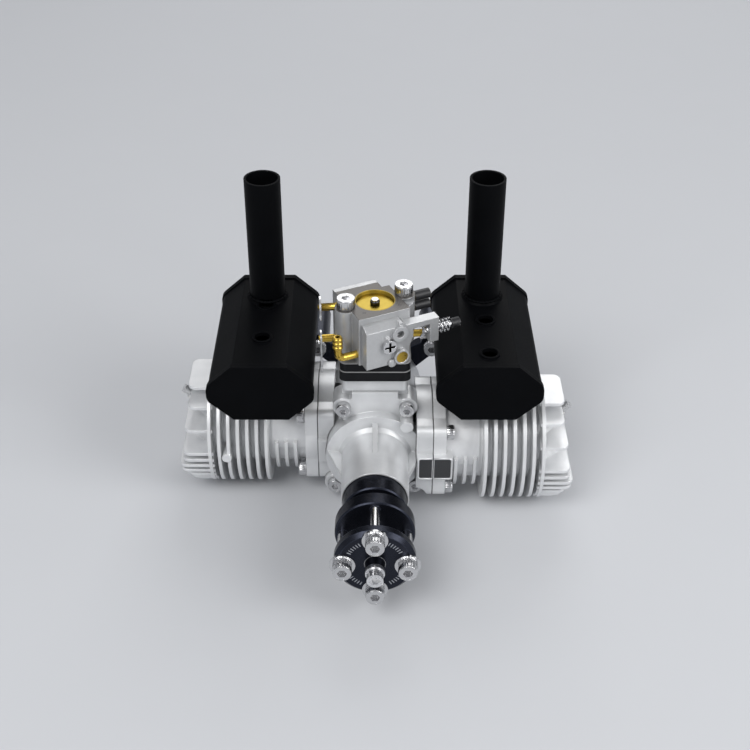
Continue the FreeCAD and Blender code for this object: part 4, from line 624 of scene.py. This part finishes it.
class ENGINE_OT_brass(bpy.types.Operator):
    """Finishes the brass shafts, plates, plug, elbow and needles with their black caps"""

    bl_idname = "engine.brass"
    bl_label = "Brass pieces"

    def execute(self, context):
        colour = tuple(looks().brass)
        turned = steel_paint("turned_brass", colour, 0.27, 0.003)
        turned.dress("throttle_shaft", "choke_shaft", "fuel_elbow", "inlet_plug")
        self.choke_shaft()
        self.elbow_rings()
        turned.dress("flatted_choke_shaft", "fuel_elbow_rings")
        plates = steel_paint("butterfly_brass", tuple(looks().throat_brass), 0.3, 0.003)
        throat_mm = THROAT / MM
        off_axis = plates.radius(plates.x - throat_mm.x, plates.y - throat_mm.y)
        screw_top = off_axis < PLATE_SCREW_RADIUS
        plates.set_input("Base Color", plates.mix(screw_top, plates.tone(), tuple(looks().steel)))
        plates.dress("throttle_plate", "choke_plate")
        self.plate_collar()
        black = (0.02, 0.02, 0.022)
        for speed in ("high", "low"):
            name = f"{speed}_speed_needle"
            start = JOINTS[f"{speed}_needle_turn"]["pos_m"]
            needle = banded_paint(f"{name}_finish", black, colour, start, NEEDLE_WAY, NEEDLE_CAP_START,
                                  (1.0, 0.0), (0.28, 0.42))
            needle.dress(name)
        screw = banded_paint("idle_screw_finish", black, tuple(looks().steel),
                             JOINTS["idle_screw_turn"]["pos_m"], NEEDLE_WAY, IDLE_KNOB_START,
                             (1.0, 0.2), (0.26, 0.4))
        screw.dress("idle_speed_screw")
        return {"FINISHED"}

    def choke_shaft(self):
        """A circle is carried along the shaft, and between the ends of the flat under the plate its
        height is held at that flat. Each row gives the way along, the radius and the flat's height."""
        tip = 1.27
        full = 1.9
        no_flat = 9.0
        flat_height = -0.5
        rows = np.array([
            (-27.8, tip, no_flat), (-26.3, tip, no_flat), (-26.3, full, no_flat),
            (-9.6, full, no_flat), (-9.6, full, flat_height), (9.6, full, flat_height),
            (9.6, full, no_flat), (12.0, full, no_flat)])
        along, radius, flat = rows.T[:, :, None] * MM
        angle = np.linspace(0.0, TAU, 48, endpoint=False)[None]
        upwards = Vector((0.0, 0.0, 1.0))
        side = np.array(upwards.cross(SHAFT_WAY))
        height = np.minimum(radius * np.sin(angle), flat)
        points = (np.array(CHOKE_SHAFT) + along[..., None] * np.array(SHAFT_WAY)
                  + (radius * np.cos(angle))[..., None] * side + height[..., None] * np.array(upwards))
        shaft = surface("flatted_choke_shaft", points[::-1], "choke", round_v=True, caps=True)
        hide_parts("choke_shaft")

    def elbow_rings(self):
        """The hose rings on the elbow's mouth: a sleeve whose radius rises by the absolute sine of the
        height over the ring spacing."""
        rise = np.linspace(0.0, RINGS_HEIGHT, 43)
        bulge = RING_RISE * np.abs(np.sin(rise * math.pi / RING_SPACING)) ** 0.7
        outline = np.concatenate([[RINGS_INNER_RADIUS], RINGS_RADIUS + bulge, [RINGS_INNER_RADIUS]])
        height = np.concatenate([[0.0], rise, [RINGS_HEIGHT]])
        radii = np.repeat(outline[:, None], 40, axis=1) * MM
        across, front, up = ELBOW_MOUTH
        foot = carburettor_spot(across, front, up - RINGS_HEIGHT)
        sleeve = surface("fuel_elbow_rings", turned_grid(foot, (0, 0, 1), radii, height * MM), "engine",
                         round_u=True, round_v=True)

    def plate_collar(self):
        """The collar under the choke plate's screw: a turned profile with a rounded upper edge."""
        profile = np.array([(2.35, 0.45), (2.35, 2.0), (2.2, 2.25), (1.95, 2.35), (1.75, 2.3),
                            (1.72, 1.9)])
        radii = np.repeat(profile[:, 0:1], 40, axis=1) * MM
        ring = turned_grid(CHOKE_SHAFT, (0, 0, 1), radii, profile[:, 1] * MM)
        collar = surface("choke_screw_collar", ring, "choke", round_u=True, round_v=True)
        steel_paint("collar_steel", (0.10, 0.10, 0.105), 0.3).dress(collar.name)


class ENGINE_OT_spark_plugs(bpy.types.Operator):
    """Finishes each spark plug: copper washer, plated hexagon, white insulator and terminal"""

    bl_idname = "engine.spark_plugs"
    bl_label = "Spark plugs"

    def execute(self, context):
        for side in ("left", "right"):
            mount = MOUNTS[f"{side}_plug_terminal"]
            way = Vector(mount["axis"]).normalized()
            seat = Vector(mount["pos_m"]) - way * PLUG_HEIGHT * MM
            plug = Paint(f"{side}_plug_finish", (0.7, 0.7, 0.7), 1.0, 0.28)
            edge_wear_and_highlight = plug.edges(0.2, 4.0)
            height = plug.distance(seat, way)
            copper = height < PLUG_WASHER_TOP
            white = (height > PLUG_INSULATOR[0]) * (height < PLUG_INSULATOR[1])
            stain = plug.noise(0.9, 3.0)
            metal = plug.mix(stain + edge_wear_and_highlight * 0.4, (0.52, 0.52, 0.52), (0.80, 0.80, 0.80))
            tone = plug.mix(copper, metal, tuple(looks().copper))
            plug.set_input("Base Color", plug.mix(white, tone, (0.80, 0.79, 0.76)))
            plug.set_input("Metallic", 1.0 - white)
            plug.set_input("Roughness", 0.2 + stain * 0.16 + copper * 0.1)
            plug.dress(f"{side}_spark_plug")
        return {"FINISHED"}


class ENGINE_OT_mufflers(bpy.types.Operator):
    """Finishes the mufflers in heat-proof black and adds the bead round each tail pipe"""

    bl_idname = "engine.mufflers"
    bl_label = "Mufflers"

    def execute(self, context):
        colour = tuple(looks().muffler)
        paint = Paint("muffler_black", colour, 0.0, 0.5, specular=0.035)
        edge_wear_and_highlight = paint.edges(0.5, 3.5)
        dust = paint.noise(0.06, 5.0)
        peel = paint.noise(1.3, 2.0)
        tone = paint.mix(dust, shade(colour, 0.8), shade(colour, 1.7))
        # Painted highlight: the edges are lightened to three times the paint's colour.
        paint.set_input("Base Color", paint.mix(edge_wear_and_highlight * 0.8, tone, shade(colour, 3.0)))
        paint.set_input("Roughness", 0.38 + peel * 0.14 + dust * 0.1)
        paint.bump(peel * 0.8 + paint.noise(3.6, 2.0) * 0.3, 0.02)
        paint.dress("left_muffler", "right_muffler")
        for side in ("left", "right"):
            name = f"{side}_pipe_bead"
            self.bead(name, side)
            paint.dress(name)
        return {"FINISHED"}

    def bead(self, name, side):
        """A ring of weld: minor circle v is carried round major circle u, its size rippled by the
        sine of u times the number of weld steps."""
        mount = MOUNTS[f"{side}_tail_pipe"]
        steps = 26
        u = np.linspace(0.0, TAU, steps * 8, endpoint=False)[:, None]
        v = np.linspace(0.0, TAU, 12, endpoint=False)[None]
        size = looks().weld_radius * (1.0 + 0.14 * np.sin(u * steps))
        reach = (mount["dims"]["r_mm"] + PIPE_BEAD_OUT) * MM + size * np.cos(v)
        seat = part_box(f"{side}_muffler")[1].z - PIPE_BEAD_BELOW_PIPE_END * MM
        centre = np.array([mount["pos_m"][0], mount["pos_m"][1], seat])
        points = np.stack([reach * np.cos(u), reach * np.sin(u), size * np.sin(v)], axis=-1) + centre
        surface(name, points, "engine", round_u=True, round_v=True)


class ENGINE_OT_propeller_drive(bpy.types.Operator):
    """Finishes the propeller drive in black anodising with turning marks, and its screws"""

    bl_idname = "engine.propeller_drive"
    bl_label = "Propeller drive"

    def execute(self, context):
        drive = self.anodised("anodised_drive")
        drive.dress("drive_hub", "rear_mount", "standoffs")
        washer = self.anodised("anodised_washer")
        self.tick_marks(washer)
        washer.dress("propeller_washer")
        silver = steel_paint("drive_screws", tuple(looks().steel), 0.16)
        silver.dress("propeller_bolts")
        tip = banded_paint("drive_nose", tuple(looks().steel), tuple(looks().anodised),
                           WASHER_BOX[0], Vector((0.0, -1.0, 0.0)), NOSE_START, (0.9, 1.0), (0.3, 0.24))
        tip.dress("centre_bolt")
        return {"FINISHED"}

    def anodised(self, name):
        """Black anodising over turned metal: rings about the shaft, and painted slate highlights on the edges."""
        paint = Paint(name, tuple(looks().anodised), 0.85, 0.34)
        edge_wear_and_highlight = paint.edges(0.4, 4.5)
        off_axis = paint.radius(paint.x, paint.z)
        rings = ((off_axis + paint.y * 0.7) * 9.0).sine() * 0.5 + paint.noise(0.8) * 0.5
        tone = paint.mix(paint.noise(0.12, 3.0), tuple(looks().anodised), shade(looks().anodised, 1.6))
        # Painted highlight: the edges take the slate colour.
        paint.set_input("Base Color", paint.mix(edge_wear_and_highlight, tone, tuple(looks().anodised_edge_highlight)))
        paint.set_input("Roughness", 0.26 + rings * 0.08 + paint.noise(1.9) * 0.06)
        paint.bump(rings, 0.003)
        return paint

    def tick_marks(self, paint):
        """Plain engraved ticks in four groups between the screws, on the washer's face only."""
        off_axis = paint.radius(paint.x, paint.z)
        angle = paint.make("ShaderNodeMath", {"operation": "ARCTAN2"}, {0: paint.z, 1: paint.x})
        group = (angle * 4.0).cosine() < -0.35
        tick = (angle * 60.0).sine() > 0.45
        band = (off_axis > TICK_BAND[0]) * (off_axis < TICK_BAND[1])
        face = paint.y < WASHER_BOX[0].y / MM + 0.05
        mark = group * tick * band * face
        paint.set_input("Base Color", paint.mix(mark * 0.8, paint.tone(), (0.5, 0.52, 0.56)))


class ENGINE_OT_gaskets(bpy.types.Operator):
    """Finishes gaskets and the oil seal"""

    bl_idname = "engine.gaskets"
    bl_label = "Gaskets"

    def execute(self, context):
        fibre = Paint("gasket_fibre", (0.05, 0.05, 0.052), 0.0, 0.8)
        threads = fibre.noise(3.0, 3.0, 0.6, (1.0, 1.0, 4.0))
        fibre.set_input("Base Color", fibre.mix(threads, (0.03, 0.03, 0.032), (0.10, 0.10, 0.105)))
        fibre.set_input("Roughness", 0.7 + threads * 0.2)
        fibre.bump(threads, 0.02)
        fibre.dress("base_gaskets", "exhaust_gaskets")
        grey = Paint("thin_gasket", (0.30, 0.30, 0.30), 0.0, 0.7)
        soft = grey.noise(2.0, 3.0)
        grey.set_input("Base Color", grey.mix(soft, (0.20, 0.20, 0.20), (0.36, 0.36, 0.36)))
        grey.dress("intake_gaskets")
        rubber = Paint("seal_rubber", (0.015, 0.015, 0.016), 0.0, 0.55)
        skin = rubber.noise(2.0)
        rubber.set_input("Base Color", rubber.mix(skin, (0.010, 0.010, 0.011), (0.03, 0.03, 0.03)))
        rubber.bump(skin, 0.01)
        rubber.dress("front_oil_seal")
        return {"FINISHED"}


class ENGINE_OT_knurled_heads(bpy.types.Operator):
    """Adds the knurled sides of the cap screws' heads"""

    bl_idname = "engine.knurled_heads"
    bl_label = "Knurled heads"

    def execute(self, context):
        small = tuple(size * MM for size in SMALL_HEAD)
        large = tuple(size * MM for size in LARGE_HEAD)
        heads = []
        for sign, axis_y in ((-1, LEFT_AXIS_Y), (1, RIGHT_AXIS_Y)):
            for across in (-CYLINDER_SCREWS[0], CYLINDER_SCREWS[0]):
                for up in (-CYLINDER_SCREWS[1], CYLINDER_SCREWS[1]):
                    seat = (sign * FLANGE_FACE_X, axis_y + across * MM, up * MM)
                    heads.append(knurled_head(seat, (sign, 0, 0), *small))
        for x, z in HOUSING_SCREWS:
            for sign in (-1, 1):
                seat = (sign * x * MM, HOUSING_FACE_Y, z * MM)
                heads.append(knurled_head(seat, (0, -1, 0), *small))
        for x in (-MOUNT_SCREWS[0], MOUNT_SCREWS[0]):
            for z in (-MOUNT_SCREWS[1], MOUNT_SCREWS[1]):
                heads.append(knurled_head((x * MM, MOUNT_FACE_Y, z * MM), (0, -1, 0), *large))
        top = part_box("carburettor_body")[1].z
        for side in (-1, 1):
            spot = THROAT + NEEDLE_WAY * side * CARBURETTOR_SCREWS_OUT * MM
            heads.append(knurled_head((spot.x, spot.y, top), (0, 0, 1), *large))
        case = joined("case_screw_knurls", heads, "engine")
        turning = []
        for across, up in ((0, 1), (1, 0), (0, -1), (-1, 0)):
            seat = (DRIVE_SCREWS_OUT * MM * across, PROPELLER_SEAT_Y, DRIVE_SCREWS_OUT * MM * up)
            turning.append(knurled_head(seat, (0, -1, 0), *large))
        drive = joined("drive_screw_knurls", turning, "crankshaft")
        paint = steel_paint("knurled_steel", tuple(looks().steel), 0.22)
        paint.dress(case.name, drive.name)
        return {"FINISHED"}


class ENGINE_OT_raised_rims(bpy.types.Operator):
    """Adds the raised rims round the flat front of the right case box and of its flange"""

    bl_idname = "engine.raised_rims"
    bl_label = "Raised rims"

    def execute(self, context):
        case = self.rim("case_rim", *CASE_RIM)
        flange = self.rim("flange_rim", *FLANGE_RIM)
        paint = cast_paint("rim_casting", tuple(looks().casting), 2.6, looks().grain_depth)
        paint.dress(case.name, flange.name)
        return {"FINISHED"}

    def rim(self, name, inner_x, outer_x):
        """A circle is carried out along the top, round a quarter-circle corner, down the outer side,
        round the other corner and back along the bottom; the two rims meet back to back at the gasket."""
        way = 1.0 if outer_x > inner_x else -1.0
        turn = np.linspace(0.0, math.pi / 2, 9)
        bend_x = outer_x - way * RIM_CORNER
        bend_z = RIM_HALF_HEIGHT - RIM_CORNER
        top = np.stack([np.array([inner_x, bend_x]), np.full(2, RIM_HALF_HEIGHT)], axis=1)
        upper = np.stack([bend_x + way * RIM_CORNER * np.sin(turn), bend_z + RIM_CORNER * np.cos(turn)],
                         axis=1)
        lower = upper[::-1] * (1.0, -1.0)
        bottom = top[::-1] * (1.0, -1.0)
        flat_path = np.concatenate([top[:1], upper, lower, bottom[1:]])
        path = np.stack([flat_path[:, 0] * MM, np.full(len(flat_path), BOX_FRONT_Y), flat_path[:, 1] * MM],
                        axis=1)
        grid = tube_grid(path, looks().rim_half_width, 12, np.array([0.0, 1.0, 0.0]))
        piece = surface(name, grid, "engine", round_v=True, caps=True)
        return piece


class ENGINE_OT_stage(bpy.types.Operator):
    """Sets up the floor, the lights and the camera"""

    bl_idname = "engine.stage"
    bl_label = "Stage"

    def execute(self, context):
        self.floor()
        self.world()
        for settings in LAMPS:
            self.lamp(*settings)
        self.camera()
        context.scene.view_settings.view_transform = "Standard"
        return {"FINISHED"}

    def floor(self):
        bottom = CAD_BOX[0][2] - FLOOR_GAP_MM * MM
        corners = [(x * FLOOR_REACH, y * FLOOR_REACH, bottom)
                   for x, y in ((-1, -1), (1, -1), (1, 1), (-1, 1))]
        mesh = bpy.data.meshes.new("floor")
        mesh.from_pydata(corners, [], [(0, 1, 2, 3)])
        floor = bpy.data.objects.new("floor", mesh)
        bpy.context.scene.collection.objects.link(floor)
        paint = Paint("floor_paper", tuple(looks().floor_grey), 0.0, 1.0, specular=0.0)
        near = paint.mix(paint.noise(0.02, 2.0), shade(looks().floor_grey, 0.985),
                         tuple(looks().floor_grey))
        far = (paint.radius(paint.x, paint.y) * (1.0 / FLOOR_PALE_FROM_MM) - 1.0).kept()
        paint.set_input("Base Color", paint.mix(far, near, (0.97, 0.97, 0.98)))
        mesh.materials.append(paint.material)

    def world(self):
        world = bpy.data.worlds.new("studio")
        bpy.context.scene.world = world
        world.use_nodes = True
        sky = Shading(world.node_tree)
        background = sky.tree.nodes["Background"]
        way = sky.make("ShaderNodeTexCoord", output="Generated")
        height = sky.make("ShaderNodeVectorMath", {"operation": "DOT_PRODUCT"},
                          {0: way, 1: (0.0, 0.0, 1.0)}, output=1)
        stops = ((0.0, (0.40, 0.41, 0.43, 1.0)), (0.12, (0.36, 0.37, 0.39, 1.0)),
                 (0.5, (0.22, 0.225, 0.24, 1.0)), (1.0, (0.42, 0.43, 0.45, 1.0)))
        dome = sky.make("ShaderNodeValToRGB", {"stops": stops}, {0: height})
        sky.feed(background.inputs["Color"], dome)
        background.inputs["Strength"].default_value = 1.0

    def lamp(self, name, place, size, power):
        """A square soft box, in metres and watts, that faces the engine's middle."""
        data = bpy.data.lights.new(name, "AREA")
        data.shape = "SQUARE"
        data.size = size
        data.energy = power
        lamp = bpy.data.objects.new(name, data)
        bpy.context.scene.collection.objects.link(lamp)
        lamp.location = place
        lamp.rotation_euler = (LAMP_TARGET - Vector(place)).to_track_quat("-Z", "Y").to_euler()

    def camera(self):
        """The photograph's view: along +Y, looking down by its own angle."""
        data = bpy.data.cameras.new("photo_view")
        data.sensor_width = SENSOR_MM
        data.lens = LENS_MM
        camera = bpy.data.objects.new("photo_view", data)
        bpy.context.scene.collection.objects.link(camera)
        camera.location = CAMERA_PLACE
        camera.rotation_euler = (math.radians(90.0 - CAMERA_LOOKS_DOWN), 0.0, 0.0)
        bpy.context.scene.camera = camera


STEPS = (
    ENGINE_OT_castings, ENGINE_OT_carburettor, ENGINE_OT_steel, ENGINE_OT_brass, ENGINE_OT_spark_plugs,
    ENGINE_OT_mufflers, ENGINE_OT_propeller_drive, ENGINE_OT_gaskets, ENGINE_OT_knurled_heads,
    ENGINE_OT_raised_rims, ENGINE_OT_stage)


class ENGINE_PT_looks(bpy.types.Panel):
    """Lists the engine's settings and the steps that dress it"""

    bl_label = "Flat Twin Engine"
    bl_idname = "ENGINE_PT_looks"
    bl_space_type = "VIEW_3D"
    bl_region_type = "UI"
    bl_category = "Engine"

    def draw(self, context):
        for name in EngineLooks.__annotations__:
            self.layout.prop(context.scene.engine_looks, name)
        for step in STEPS:
            self.layout.operator(step.bl_idname)


CLASSES = (EngineLooks, *STEPS, ENGINE_PT_looks)


def register():
    for item in CLASSES:
        bpy.utils.register_class(item)
    bpy.types.Scene.engine_looks = bpy.props.PointerProperty(type=EngineLooks)


def unregister():
    del bpy.types.Scene.engine_looks
    for item in reversed(CLASSES):
        bpy.utils.unregister_class(item)


def main():
    register()
    for step in STEPS:
        group, name = step.bl_idname.split(".")
        getattr(getattr(bpy.ops, group), name)()


if __name__ == "__main__":
    main()
